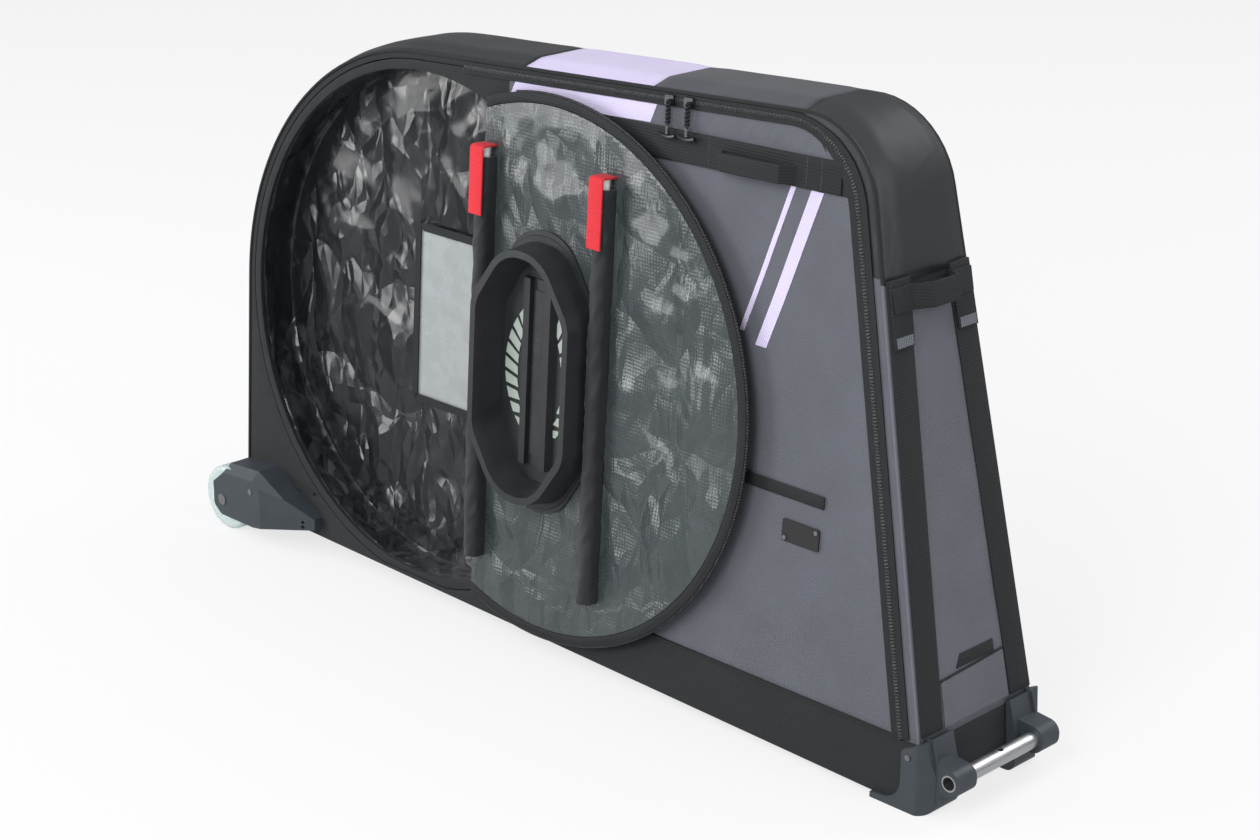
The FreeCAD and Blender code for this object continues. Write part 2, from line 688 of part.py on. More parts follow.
def make_cover(side):
    name = SIDE_NAMES[side]
    frame = cover_frame(side)
    edge = hinge_x - d.chord_gap
    sheet_out = d.cover_standoff + d.cover_thickness
    body, sketch, thick = plate(name + "_sheet", side, frame, d.cover_standoff, sheet_out)
    chord_disc(sketch, arch_x, arch_v, d.sheet_radius, edge)
    pad(body, sketch, thick)
    node(body, name + "_cover_sheet")
    body, sketch, thick = plate(name + "_rim", side, frame, d.seam_gap, d.seam_gap + d.rim_thickness)
    chord_disc(sketch, arch_x, arch_v, d.cover_radius, edge)
    pad(body, sketch, thick)
    sketch = new_sketch(body, "XZ_Plane")
    round_hole(sketch, arch_x, arch_v, d.cover_radius - d.rim_width)
    pocket(body, sketch, thick, backwards=True)
    node(body, name + "_cover_rim")
    make_cover_welt(side)
    make_rods(side, frame)
    make_hub_cup(side, frame)
    make_tabs(side, frame)


def make_cover_welt(side):
    """The welt that carries a cover: a tape sewn to the panel, ending in a bead on the hinge line."""
    name = SIDE_NAMES[side]
    body = new_body(name + "_welt", side_frame(side) * at(hinge_x, 0, arch_v))
    sketch = new_sketch(body, "XY_Plane")
    web = d.welt_web + d.seam_gap
    out = side * d.cover_hinge_out
    tape = side * d.welt_web
    outline(sketch, [(d.seam_gap, 0), (d.welt_tape, 0), (d.welt_tape, tape), (web, tape), (web, out),
                     (d.seam_gap, out)])
    pad(body, sketch, d.welt_length, both=True)
    sketch = new_sketch(body, "XY_Plane")
    round_hole(sketch, 0, out, d.welt_radius)
    pad(body, sketch, d.welt_length, both=True)
    node(body, name + "_cover_welt")


def rod_places():
    return {"rear": arch_x - d.rod_offset, "front": arch_x + d.rod_offset}


def make_rods(side, frame):
    name = SIDE_NAMES[side]
    half = d.sleeve_width / 2
    low = arch_v - d.sleeve_below
    height = d.sleeve_below + d.sleeve_above
    sleeves = {}
    rods = {}
    for where, x in rod_places().items():
        sleeve = new_body(f"{name}_{where}_sleeve", frame * at(x, side * d.cover_standoff, low))
        sketch = new_sketch(sleeve, "XY_Plane")
        crown = -side * (d.sleeve_width - d.seam_gap)
        outline(sketch, [(-half, 0), (half, 0), (half, crown, half - d.seam_gap),
                         (-half, crown, half - d.seam_gap)])
        round_hole(sketch, 0, -side * half, d.rod_radius + d.rod_fit)
        pad(sleeve, sketch, height)
        sleeves[where] = sleeve
        place = frame * at(x, side * (d.cover_standoff - half), low + d.rod_inset)
        rods[where] = cylinder(f"{name}_{where}_rod", d.rod_radius, height + d.rod_proud - d.rod_inset,
                               place)
    keep_pieces(side, "sleeve", sleeves)
    keep_pieces(side, "rod", rods)


def cup_outline(width, height):
    """Corners of the hub cup's long eight-sided outline."""
    side_x = width / 2
    nose_x = width * d.cup_nose_share
    side_z = height * d.cup_side_share
    nose_z = height / 2
    run = side_x - nose_x
    climb = nose_z - side_z
    nose_round = d.cup_nose_round_share * nose_x * climb / (run * slant(climb / run) - run)
    side_round = width * d.cup_side_round_share
    return [(side_x, -side_z, side_round), (side_x, side_z, side_round), (nose_x, nose_z, nose_round),
            (-nose_x, nose_z, nose_round), (-side_x, side_z, side_round), (-side_x, -side_z, side_round),
            (-nose_x, -nose_z, nose_round), (nose_x, -nose_z, nose_round)]


def make_hub_cup(side, frame):
    name = SIDE_NAMES[side]
    body = new_body(name + "_cup", frame * at(arch_x, side * d.cover_standoff, arch_v))

    def level(depth, width, height):
        sketch = new_sketch(body, "XZ_Plane", side * depth)
        outline(sketch, cup_outline(width, height))
        return sketch

    flange = level(as_size(0), d.flange_width, d.flange_height)
    pad(body, flange, d.flange_thickness, backwards=side == NEAR)
    rim_width = d.cup_width - 2 * d.cup_taper
    rim_height = d.cup_height - 2 * d.cup_taper
    loft(body, "AdditiveLoft", [level(as_size(0), d.flange_width - d.lip_step, d.flange_height - d.lip_step),
                                level(d.lip_rise, d.flange_width - d.lip_step,
                                      d.flange_height - 2 * d.lip_step)])
    loft(body, "AdditiveLoft", [level(d.flange_thickness, d.cup_width, d.cup_height),
                                level(d.cup_depth, rim_width, rim_height)])
    room = 2 * d.cup_wall
    draft = 2 * d.cup_draft
    loft(body, "SubtractiveLoft", [
        level(d.cup_depth + d.seam_gap, rim_width - room, rim_height - room),
        level(d.cup_floor, rim_width - room - draft, rim_height - room - draft)])
    sketch = new_sketch(body, "XY_Plane")
    foot = -side * (d.cup_floor - d.seam_gap)
    crest = -side * (d.cup_floor + d.channel_rise)
    wide = d.channel_width / 2
    shoulder = wide - d.channel_crest / 2
    lip = shoulder - d.channel_crest
    bed = foot - side * d.flange_thickness
    outline(sketch, [(-wide, foot), (wide, foot), (shoulder, crest), (lip, crest), (lip - d.cup_step, bed),
                     (d.cup_step - lip, bed), (-lip, crest), (-shoulder, crest)])
    pad(body, sketch, d.channel_length, both=True)
    node(body, name + "_hub_cup")


def make_tabs(side, frame):
    name = SIDE_NAMES[side]
    top = arch_v + d.sleeve_above + d.rod_proud + d.tab_gap
    low = top - d.tab_length
    near_face = d.sleeve_width + d.tab_gap
    root = -side * d.tab_root_gap
    tabs = {}
    for where, x in rod_places().items():
        tab = new_body(f"{name}_{where}_tab", frame * at(x, side * d.cover_standoff, 0))
        sketch = new_sketch(tab, "YZ_Plane")
        outer = -side * (near_face + d.tab_thickness)
        inner = -side * near_face
        outline(sketch, [(root, top), (inner, top), (inner, low), (outer, low),
                         (outer, top + d.tab_thickness, d.tab_bend_radius), (root, top + d.tab_thickness)])
        pad(tab, sketch, d.tab_width, both=True)
        tabs[where] = tab
    keep_pieces(side, "tab", tabs)


# Webbing carry handles on the sides

def make_side_handle(side):
    """Flat webbing along the side, with a narrower loop for the hand that stands off it."""
    name = SIDE_NAMES[side]
    tilt = math.degrees(math.atan(d.handle_tilt_share.value))
    body = new_body(name + "_grip", side_frame(side) * at(0, 0, up_side(d.handle_z), ALONG_Y, -tilt))
    crest = side * d.handle_rise
    under = side * (d.handle_rise - d.grip_webbing)
    band = side * d.webbing
    start = d.handle_start
    end = d.handle_end
    foot = d.grip_webbing
    sketch = new_sketch(body, "XY_Plane")
    outline(sketch, [(d.handle_band_start, 0), (d.handle_band_end, 0), (d.handle_band_end, band),
                     (d.handle_band_start, band)])
    pad(body, sketch, d.handle_height, both=True)
    sketch = new_sketch(body, "XY_Plane", -d.grip_drop)
    outline(sketch, [(start, 0), (end, 0), (end, band), (end - d.handle_bend, crest),
                     (start + d.handle_bend, crest), (start, band)])
    outline(sketch, [(start + foot, band), (end - foot, band), (end - foot - d.handle_bend, under),
                     (start + foot + d.handle_bend, under)])
    pad(body, sketch, d.grip_height, both=True)
    node(body, name + "_handle")


# Small things on the near panel: pocket zip, patch with rivets, zip sliders and pulls

def make_pocket_zip():
    tape_out = d.pocket_zip_thickness
    body, sketch, thick = plate("pocket_zip_tape", NEAR, side_frame(NEAR), as_size(0), tape_out)
    length = d.pocket_zip_end - d.pocket_zip_start
    middle = d.pocket_zip_start + length / 2
    outline(sketch, box_corners(middle, up_side(d.pocket_zip_z), length, d.pocket_zip_height))
    pad(body, sketch, thick)
    node(body, "pocket_zip")
    inner = d.pocket_zip_thickness + d.seam_gap
    body, sketch, thick = plate("pocket_slider", NEAR, side_frame(NEAR), inner, inner + d.pocket_slider_rise)
    outline(sketch, box_corners(d.pocket_slider_x, up_side(d.pocket_zip_z), d.pocket_slider_length,
                                d.pocket_slider_height, d.slider_round))
    pad(body, sketch, thick)
    node(body, "pocket_zip_slider")


def make_patch():
    body, sketch, thick = plate("patch", NEAR, side_frame(NEAR), as_size(0), d.patch_thickness)
    outline(sketch,
            box_corners(d.patch_x, up_side(d.patch_z), d.patch_width, d.patch_height, d.rivet_radius))
    pad(body, sketch, thick)
    node(body, "label_patch")
    top = d.patch_thickness + d.rivet_rise
    body, sketch, thick = plate("rivets", NEAR, side_frame(NEAR), d.patch_thickness, top)
    reach_x = d.patch_width / 2 - d.rivet_margin
    reach_z = d.patch_height / 2 - d.rivet_margin
    for sign in (-1, 1):
        round_hole(sketch, d.patch_x + sign * reach_x, up_side(d.patch_z) + sign * reach_z, d.rivet_radius)
    rivets = pad(body, sketch, thick)
    body.AllowCompound = True
    rivets.AllowMultiFace = True
    node(body, "label_rivets")


def zip_line_frame(x):
    """Frame on the near side where the main zip passes x, turned to run along the rising top."""
    seam = panel_inset - d.zip_gap / 2
    return side_frame(NEAR) * at(x, 0, up_side(top_at(x, seam)), ALONG_Y, -rise_angle)


def make_zip_sliders():
    for index, where in enumerate(("rear", "front")):
        frame = zip_line_frame(d.slider_x + index * d.slider_spacing)
        body, sketch, thick = plate(where + "_slider", NEAR, frame, d.seam_gap, d.seam_gap + d.slider_rise)
        outline(sketch,
                box_corners(as_size(0), as_size(0), d.slider_length, d.slider_height, d.pull_width / 2))
        pad(body, sketch, thick)
        node(body, f"main_zip_slider_{where}")
        inner = d.seam_gap + d.slider_rise + d.slider_gap
        body, sketch, thick = plate(where + "_pull", NEAR, frame, inner, inner + d.pull_thickness)
        stem = d.pull_width / 2
        wing = d.toggle_width / 2
        foot = d.pull_head - d.pull_length
        wing_top = foot + d.toggle_height - d.toggle_bar
        outline(sketch, [(stem, d.pull_head), (-stem, d.pull_head), (-stem, foot + d.toggle_height),
                         (-wing, wing_top), (-wing, wing_top - d.toggle_bar / 2),
                         (0, foot - d.toggle_bar / 2),
                         (wing, wing_top - d.toggle_bar / 2), (wing, wing_top),
                         (stem, foot + d.toggle_height)])
        pad(body, sketch, thick)
        node(body, f"main_zip_pull_{where}")


# End of the case: straps down to the feet, handle between them, card tab

def end_run(z):
    """Distance up the leaning end that reaches a height."""
    return (z - d.tray_height) * slant(d.end_lean_share)


def make_end_straps():
    top = end_run(d.hood_seam_height)
    for side, name in SIDE_NAMES.items():
        body = new_body(name + "_webbing", end_frame())
        half = d.strap_width / 2
        high_y = side * d.strap_top_y
        low_y = side * d.strap_bottom_y
        sketch = new_sketch(body, "YZ_Plane")
        outline(sketch, [(low_y - half, d.strap_bottom), (low_y + half, d.strap_bottom),
                         (high_y + half, top), (high_y - half, top)])
        pad(body, sketch, d.strap_thickness)
        drift = (d.strap_bottom_y - d.strap_top_y) * d.tail_length / top
        tail = d.tail_width / 2
        tail_y = side * (d.strap_top_y + drift)
        sketch = new_sketch(body, "YZ_Plane")
        outline(sketch, [(tail_y - tail, top - d.tail_length), (tail_y + tail, top - d.tail_length),
                         (high_y + tail, top), (high_y - tail, top)])
        pad(body, sketch, d.strap_thickness + d.tail_thickness)
        node(body, f"end_strap_{name}")


def make_end_handle():
    base = d.strap_thickness + d.tail_thickness
    up = end_run(d.hood_seam_height) - d.end_handle_drop
    body = new_body("end_grip", end_frame() * at(base, 0, up))
    reach = d.strap_top_y + d.tail_width / 2
    sketch = new_sketch(body, "XY_Plane")
    bend = d.handle_bend
    inner = d.strap_top_y - d.tail_width / 2
    rise = d.end_handle_rise
    under = rise - d.grip_webbing
    outline(sketch, [(0, -reach), (d.webbing, -reach), (d.webbing, -inner - d.webbing), (rise, bend - inner),
                     (rise, inner - bend), (d.webbing, inner + d.webbing), (d.webbing, reach), (0, reach),
                     (0, inner), (under, inner - bend - d.webbing), (under, bend + d.webbing - inner),
                     (0, -inner)])
    pad(body, sketch, d.end_handle_height, both=True)
    node(body, "end_handle")


def make_card_tab():
    body = new_body("card_tab", end_frame())
    sketch = new_sketch(body, "YZ_Plane")
    half = d.card_tab_width / 2
    low = d.card_tab_up
    high = low + d.card_tab_height
    outline(sketch, [(d.card_tab_y - half, low), (d.card_tab_y + half, low), (d.card_tab_y + half, high),
                     (d.card_tab_y - half + d.card_tab_slope, high)])
    pad(body, sketch, d.card_tab_thickness)
    node(body, "end_pocket_tab")


# Moulded feet and the pull bar between them

def make_tray_room():
    """The tray's own space, grown by the feet's gap, which the feet are hollowed to fit."""
    room = new_body("tray_space")
    sketch = new_sketch(room, "XZ_Plane")
    outline(sketch, tray_outline(-d.foot_gap, -d.foot_gap, d.tray_height + d.overrun))
    pad(room, sketch, 2 * across, both=True)
    return common("tray_space_trimmed", room, section("grown_section", -d.foot_gap))


def make_foot(side, tray_room):
    """A moulded foot: sole, cheek, front plate and rib round the tray's corner, and an ear for the bar."""
    name = SIDE_NAMES[side]
    inward = side == NEAR
    gap = d.foot_gap
    top = d.tray_height + d.foot_rise
    front_low = d.end_reach + d.tray_front_step + gap
    heel = d.end_reach - d.foot_back
    neck = d.end_reach - d.foot_neck
    toe = front_low + d.foot_wall
    inner = d.bar_half_length - d.foot_width
    outer = d.side_half_base + d.foot_cheek
    shoe = new_body(name + "_shoe", at(0, side * outer, 0))
    sketch = new_sketch(shoe, "XZ_Plane")
    outline(sketch, [(heel, 0), (toe, 0, d.foot_toe_radius), (toe, d.bar_z),
                     (end_at(top) + gap + d.foot_wall - d.foot_rib, top),
                     (neck, d.tray_height - d.foot_neck_drop, d.foot_corner_radius),
                     (neck, floor_at(neck) + d.foot_rise, d.foot_neck_radius),
                     (heel, floor_at(heel) + d.foot_heel)])
    pad(shoe, sketch, outer - inner, backwards=inward)
    plan = new_body(name + "_shoe_plan")
    sketch = new_sketch(plan, "XY_Plane")
    outline(sketch, [(heel, side * inner), (toe, side * inner),
                     (toe, side * d.bar_half_length, d.foot_corner_radius),
                     (toe - d.foot_bevel, side * outer, d.foot_corner_radius), (heel, side * outer)])
    pad(plan, sketch, top)
    hugging = cut(name + "_shoe_fitted", common(name + "_shoe_block", shoe, plan), tray_room)
    ear = new_body(name + "_ear", at(0, side * d.bar_half_length, 0))
    sketch = new_sketch(ear, "XZ_Plane")
    reach = d.bar_x + d.ear_radius
    low = d.bar_z - d.ear_radius
    high = d.bar_z + d.ear_radius
    outline(sketch, [(front_low, low - d.ear_flare), (reach, low, d.ear_radius - gap),
                     (reach, high, d.ear_radius - gap), (front_low, high + d.ear_flare)])
    pad(ear, sketch, d.ear_width, backwards=inward)
    rib = new_body(name + "_rib", at(0, side * d.bar_half_length, 0))
    sketch = new_sketch(rib, "XZ_Plane")
    tip = toe + d.foot_rib_depth
    outline(sketch, [(front_low, d.foot_toe_radius), (tip, d.foot_toe_radius, d.foot_corner_radius),
                     (tip, d.bar_z), (end_at(top) + d.foot_wall, top), (end_at(top) + gap, top),
                     (end_at(d.tray_height) + gap, d.tray_height)])
    pad(rib, sketch, d.foot_rib, backwards=inward)
    whole = fuse(name + "_shoe_whole", hugging, ear, rib)
    start = d.bar_half_length - d.ear_width - gap if side == FAR else -outer - d.overrun
    bore = cylinder(name + "_bar_bore", d.bar_radius + d.bar_fit,
                    outer + d.overrun + d.ear_width - d.bar_half_length + gap,
                    at(d.bar_x, start, d.bar_z, ALONG_X, -90))
    node(cut(name + "_shoe_bored", whole, bore), "foot_" + name)


def make_bar():
    body = new_body("bar")
    sketch = new_sketch(body, "XZ_Plane")
    round_hole(sketch, d.bar_x, d.bar_z, d.bar_radius)
    round_hole(sketch, d.bar_x, d.bar_z, d.bar_radius - d.bar_wall)
    pad(body, sketch, 2 * d.bar_half_length, both=True)
    sketch = new_sketch(body, "XY_Plane", d.bar_z)
    round_hole(sketch, d.bar_x, 0, d.bar_hole_radius)
    pocket(body, sketch, 2 * d.bar_radius, backwards=True)
    node(body, "pull_bar")


def make_foot_screws():
    heads = []
    for side, name in SIDE_NAMES.items():
        outer = d.side_half_base + d.foot_cheek
        high = d.tray_height - d.foot_screw_drop
        place = at(d.end_reach - d.foot_neck / 2, side * outer, high, ALONG_X, -side * 90)
        heads.append(cylinder(name + "_foot_screw", d.foot_screw_radius, d.foot_screw_rise, place))
    node(group("foot_screw_pair", heads), "foot_screws")


# Roller housings, axles and rollers

def housing_outline(bevel):
    """Side outline of a roller housing, drawn down along its upper edge by a bevel."""
    axle = -d.roller_x
    return [(axle - d.housing_rear, d.roller_radius - d.housing_chin / 2, d.housing_round),
            (axle - d.axle_radius, d.housing_chin, d.housing_round),
            (-d.housing_hip, d.housing_chin, d.housing_round), (-d.housing_nose, d.housing_nose_low),
            (-d.housing_nose, d.housing_nose_high - bevel),
            (-d.housing_hip, d.housing_hip_height - bevel, d.housing_round),
            (axle + d.axle_radius, d.housing_top - bevel),
            (axle - d.housing_rear, d.roller_radius + d.housing_chin)]


def make_housing(side):
    """A roller housing: bevelled fairing that tapers to its nose, hollow round the roller, with a slot."""
    name = SIDE_NAMES[side]
    axle = -d.roller_x
    body = new_body(name + "_fairing", at(0, side * d.housing_face, 0))
    outer_edge = new_sketch(body, "XZ_Plane")
    outline(outer_edge, housing_outline(d.housing_bevel))
    shoulder = new_sketch(body, "XZ_Plane", side * d.housing_bevel_depth)
    outline(shoulder, housing_outline(as_size(0)))
    loft(body, "AdditiveLoft", [outer_edge, shoulder])
    sketch = new_sketch(body, "XZ_Plane", side * d.housing_bevel_depth)
    outline(sketch, housing_outline(as_size(0)))
    pad(body, sketch, d.housing_face - half_at(d.top_height) - d.housing_bevel_depth, backwards=side == NEAR)
    sketch = new_sketch(body, "XY_Plane")
    start = -d.housing_taper_start
    tip = d.side_half_base + d.housing_nose_width - d.housing_face
    beyond = d.overrun - d.housing_nose
    slope = tip * (beyond - start) / (d.housing_taper_start - d.housing_nose)
    outline(sketch,
            [(start, 0), (beyond, side * slope), (beyond, side * d.overrun), (start, side * d.overrun)])
    pocket(body, sketch, d.housing_hip_height + d.overrun, backwards=True)
    for index in range(2):
        sketch = new_sketch(body, "XZ_Plane")
        round_hole(sketch, -d.housing_nose - d.slot_behind, d.slot_z - index * d.slot_spacing, d.slot_radius)
        pocket(body, sketch, d.slot_depth, backwards=side == FAR)
    trimmed = cut(name + "_fairing_trimmed", body, outer_section)
    inner = half_at(0) + d.housing_inner_cheek
    outer = d.housing_face - d.housing_cheek
    low_y = inner if side == FAR else -outer
    well = cylinder(name + "_roller_well", d.roller_radius + d.roller_room, outer - inner,
                    at(axle, low_y, d.roller_radius, ALONG_X, -90))
    bored = cut(name + "_fairing_open", trimmed, well)
    bore_low = -d.housing_face - d.overrun if side == NEAR else half_at(d.top_height)
    bore = cylinder(name + "_axle_bore", d.axle_radius + d.axle_fit,
                    d.housing_face + d.overrun - half_at(d.top_height),
                    at(axle, bore_low, d.roller_radius, ALONG_X, -90))
    node(cut(name + "_fairing_bored", bored, bore), "roller_housing_" + name)


def make_roller(side):
    name = SIDE_NAMES[side]
    inner = half_at(0) + d.housing_inner_cheek
    outer = d.housing_face - d.housing_cheek
    middle = (inner + outer) / 2
    place = at(-d.roller_x, side * middle, d.roller_radius)
    half = d.roller_width / 2
    tyre = new_body(name + "_tyre", place)
    sketch = new_sketch(tyre, "XY_Plane")
    seat = d.roller_core_radius + d.seam_gap
    outline(sketch,
            [(seat, -half), (d.roller_radius, -half, d.tyre_round), (d.roller_radius, half, d.tyre_round),
                     (seat, half)])
    turn(tyre, sketch)
    node(tyre, "roller_tyre_" + name)
    core = new_body(name + "_core", place)
    sketch = new_sketch(core, "XY_Plane")
    bore = d.axle_radius + d.axle_fit
    web = d.core_web / 2
    rim = d.roller_core_radius - d.core_rim
    outline(sketch,
            [(bore, -half), (d.core_hub_radius, -half), (d.core_hub_radius, -web), (rim, -web), (rim, -half),
                     (d.roller_core_radius, -half), (d.roller_core_radius, half), (rim, half), (rim, web),
                     (d.core_hub_radius, web), (d.core_hub_radius, half), (bore, half)])
    turn(core, sketch)
    node(core, "roller_core_" + name)
    axle = new_body(name + "_axle", at(-d.roller_x, side * d.housing_face, d.roller_radius))
    sketch = new_sketch(axle, "XY_Plane")
    length = d.housing_face - half_at(d.roller_radius) - d.tray_wall / 2
    head = side * d.axle_head_rise
    outline(sketch, [(0, head), (d.axle_head_radius, head), (d.axle_head_radius, 0), (d.axle_radius, 0),
                     (d.axle_radius, -side * length), (0, -side * length)])
    turn(axle, sketch)
    node(axle, "roller_axle_" + name)


def make_housing_screws():
    heads = []
    for side, name in SIDE_NAMES.items():
        place = at(-d.screw_x, side * d.housing_face, d.screw_z, ALONG_X, -side * 90)
        heads.append(cylinder(name + "_housing_screw", d.screw_radius, d.screw_rise, place))
    node(group("housing_screw_pair", heads), "housing_screws")


# Inside: foam block that carries the bicycle's frame, and two straps over it

def block_floor():
    """Height of the board's upper face at the block's lower end, where the block stands."""
    return floor_at(d.block_x - d.block_length / 2) + d.tray_floor + d.board_thickness


def make_frame_block():
    body = new_body("block")
    sketch = new_sketch(body, "XZ_Plane")
    start = d.block_x - d.block_length / 2
    end = d.block_x + d.block_length / 2
    rise = d.tray_floor + d.board_thickness
    top = block_floor() + d.block_height
    outline(sketch, [(start, floor_at(start) + rise), (end, floor_at(end) + rise), (end, top), (start, top)])
    pad(body, sketch, d.block_width, both=True)
    sketch = new_sketch(body, "YZ_Plane")
    half = d.block_slot / 2
    low = top - d.block_slot_depth
    outline(sketch,
            [(-half, top + d.overrun), (-half, low, half - d.seam_gap), (half, low, half - d.seam_gap),
                     (half, top + d.overrun)])
    pocket(body, sketch, 2 * case_span, both=True)
    node(body, "frame_block")


def make_tie_straps():
    bands = []
    inner = d.block_width / 2 + d.tie_gap
    outer = inner + d.tie_thickness
    top = block_floor() + d.block_height + d.tie_gap
    for index, sign in enumerate((-1, 1)):
        x = d.block_x + sign * d.tie_spacing / 2
        low = floor_at(x - d.tie_width / 2) + d.tray_floor + d.board_thickness
        body = new_body(f"tie_strap_{index}", at(x, 0, 0))
        sketch = new_sketch(body, "YZ_Plane")
        high = top + d.tie_thickness
        outline(sketch,
                [(-outer, low), (-inner, low), (-inner, top), (inner, top), (inner, low), (outer, low),
                         (outer, high, d.tie_thickness), (-outer, high, d.tie_thickness)])
        pad(body, sketch, d.tie_width, both=True)
        bands.append(body)
    node(group("tie_strap_pair", bands), "tie_straps")


def write_parts():
    """Check every object, then write each sub-part to its own file."""
    doc.recompute()
    faults = [item.Label for item in doc.Objects if {"Invalid", "Error"} & set(item.State)]
    for item in nodes:
        if item.Shape.isNull() or not item.Shape.isValid() or not item.Shape.Solids:
            faults.append(item.Label + " shape")
    if faults:
        raise RuntimeError("failed: " + ", ".join(faults))
    os.makedirs("parts", exist_ok=True)
    for item in nodes:
        item.Shape.exportStep(f"parts/{item.Label}.step")
    print(len(nodes), "sub-parts written")


make_tray()
make_floor_board()
make_band()
make_near_panel()
make_near_zip_frame()
make_far_panel()
feet_room = make_tray_room()
for each_side in (NEAR, FAR):
    make_pocket(each_side)
    make_cover(each_side)
    make_side_handle(each_side)
    make_foot(each_side, feet_room)
    make_housing(each_side)
    make_roller(each_side)
make_pocket_zip()
make_patch()
make_zip_sliders()
make_end_straps()
make_end_handle()
make_card_tab()
make_bar()
make_foot_screws()
make_housing_screws()
make_frame_block()
make_tie_straps()
write_parts()
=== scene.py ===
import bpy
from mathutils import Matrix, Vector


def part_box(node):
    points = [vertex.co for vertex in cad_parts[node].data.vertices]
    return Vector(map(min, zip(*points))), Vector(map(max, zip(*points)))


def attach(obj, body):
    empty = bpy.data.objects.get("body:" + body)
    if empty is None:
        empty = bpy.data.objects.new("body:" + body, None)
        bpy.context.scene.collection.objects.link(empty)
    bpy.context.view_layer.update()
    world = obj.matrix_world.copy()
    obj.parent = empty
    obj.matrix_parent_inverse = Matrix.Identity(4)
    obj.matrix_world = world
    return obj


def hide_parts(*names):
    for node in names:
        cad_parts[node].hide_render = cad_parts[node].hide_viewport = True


bl_info = {
    "name": "Bike travel case",
    "version": (1, 0, 0),
    "blender": (4, 5, 0),
    "location": "View3D > Sidebar > Travel case",
    "description": "Dresses the packed bike travel case with cloth, webbing, zips, mouldings and a stage",
    "category": "Object",
}

import bisect
import math

import bmesh
import bpy
from mathutils import Matrix, Vector, bvhtree, kdtree, noise

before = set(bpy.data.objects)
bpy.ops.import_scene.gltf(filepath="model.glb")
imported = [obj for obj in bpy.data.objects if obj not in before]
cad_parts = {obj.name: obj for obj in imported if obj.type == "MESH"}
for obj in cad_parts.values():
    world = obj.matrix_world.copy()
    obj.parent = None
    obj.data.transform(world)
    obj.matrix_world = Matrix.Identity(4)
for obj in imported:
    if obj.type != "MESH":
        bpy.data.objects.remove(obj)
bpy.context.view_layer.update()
MM = 0.001
NEAR, FAR = -1, 1
SIDES = (NEAR, "near", "near_panel"), (FAR, "far", "case")  # each with its label and the body of its panel
SHARP = math.radians(40)  # an edge that turns by more is a border of its cloth
WELD, FINE_WELD = 1e-5, 1e-6  # points closer than this become one
TOP_ZONE = 0.6  # height above which the band is the case's top
TAPE_PITCH = 12 * MM  # spacing of the mesh of tapes and patches
STITCH = 3.2 * MM, 0.9 * MM, 0.7 * MM  # length, width and height of a stitch

# Wheel pockets, with mouth and back wall counted out of the side
POCKET_RADIUS, POCKET_MOUTH, POCKET_BACK = 0.3775, -0.006, -0.0605
PLATE_BORDER = 0.143, 0.263  # width and height of the border round the hub plate
PLATE_REACH = 0.078, 0.138  # half the width and height of the flat cloth under the hub plate

# Round covers
CUP_REACH = 0.108, 0.204  # half the width and height of the flat cloth under the hub cup
ROD_OFFSET, SLEEVE_HALF = 0.119, 0.0135  # distance of a rod from the middle, half the width of its sleeve
COVER_ZIP_RADIUS = 0.3885
ARC_RADIUS, ARC_SHIFT = 0.125, 0.055  # marks in a cup: their radius, and how far they are moved to the middle
ARC_CLEAR, ARC_TURN = 0.029, 0.82  # least distance of a mark from the middle line, and half the turn of an arc

# Lamps: name, place, size in metres and power in watts
LAMPS = (("key", (1.2, -4.6, 3.4), 2.6, 190.0), ("fill", (-3.8, -2.2, 2.8), 2.2, 70.0),
         ("low", (-3.2, -3.4, 0.85), 1.6, 60.0), ("end", (4.6, 0.4, 2.2), 2.0, 66.0),
         ("back", (1.5, 4.0, 3.6), 2.5, 60.0))
LAMP_TARGET = 0, 0, 0.4

# Camera fitted to the photograph: place, yaw, pitch and roll in degrees, lens and sensor in millimetres
CAMERA_PLACE = 2.4908, -2.4850, 1.6044
CAMERA_TURN = 44.436, 20.033, 0.45
CAMERA_LENS, CAMERA_SENSOR = 75.315, 36


# Colour and size settings that a user would change

def linear(hex_colour):
    """An sRGB hex colour such as 66656b as linear red, green, blue and alpha."""
    levels = [int(hex_colour[i:i + 2], 16) / 255 for i in (0, 2, 4)]
    return [c / 12.92 if c <= 0.04045 else ((c + 0.055) / 1.055) ** 2.4 for c in levels] + [1.0]


def length(name, description, default, unit="LENGTH"):
    """A length setting in metres, or a ratio without a unit."""
    return bpy.props.FloatProperty(name=name, description=description, default=default, unit=unit, precision=4)


def colour(name, description, hex_colour):
    """A colour setting, given as an sRGB hex colour."""
    return bpy.props.FloatVectorProperty(name=name, description=description, default=linear(hex_colour), size=4,
                                         subtype="COLOR", min=0, max=1)


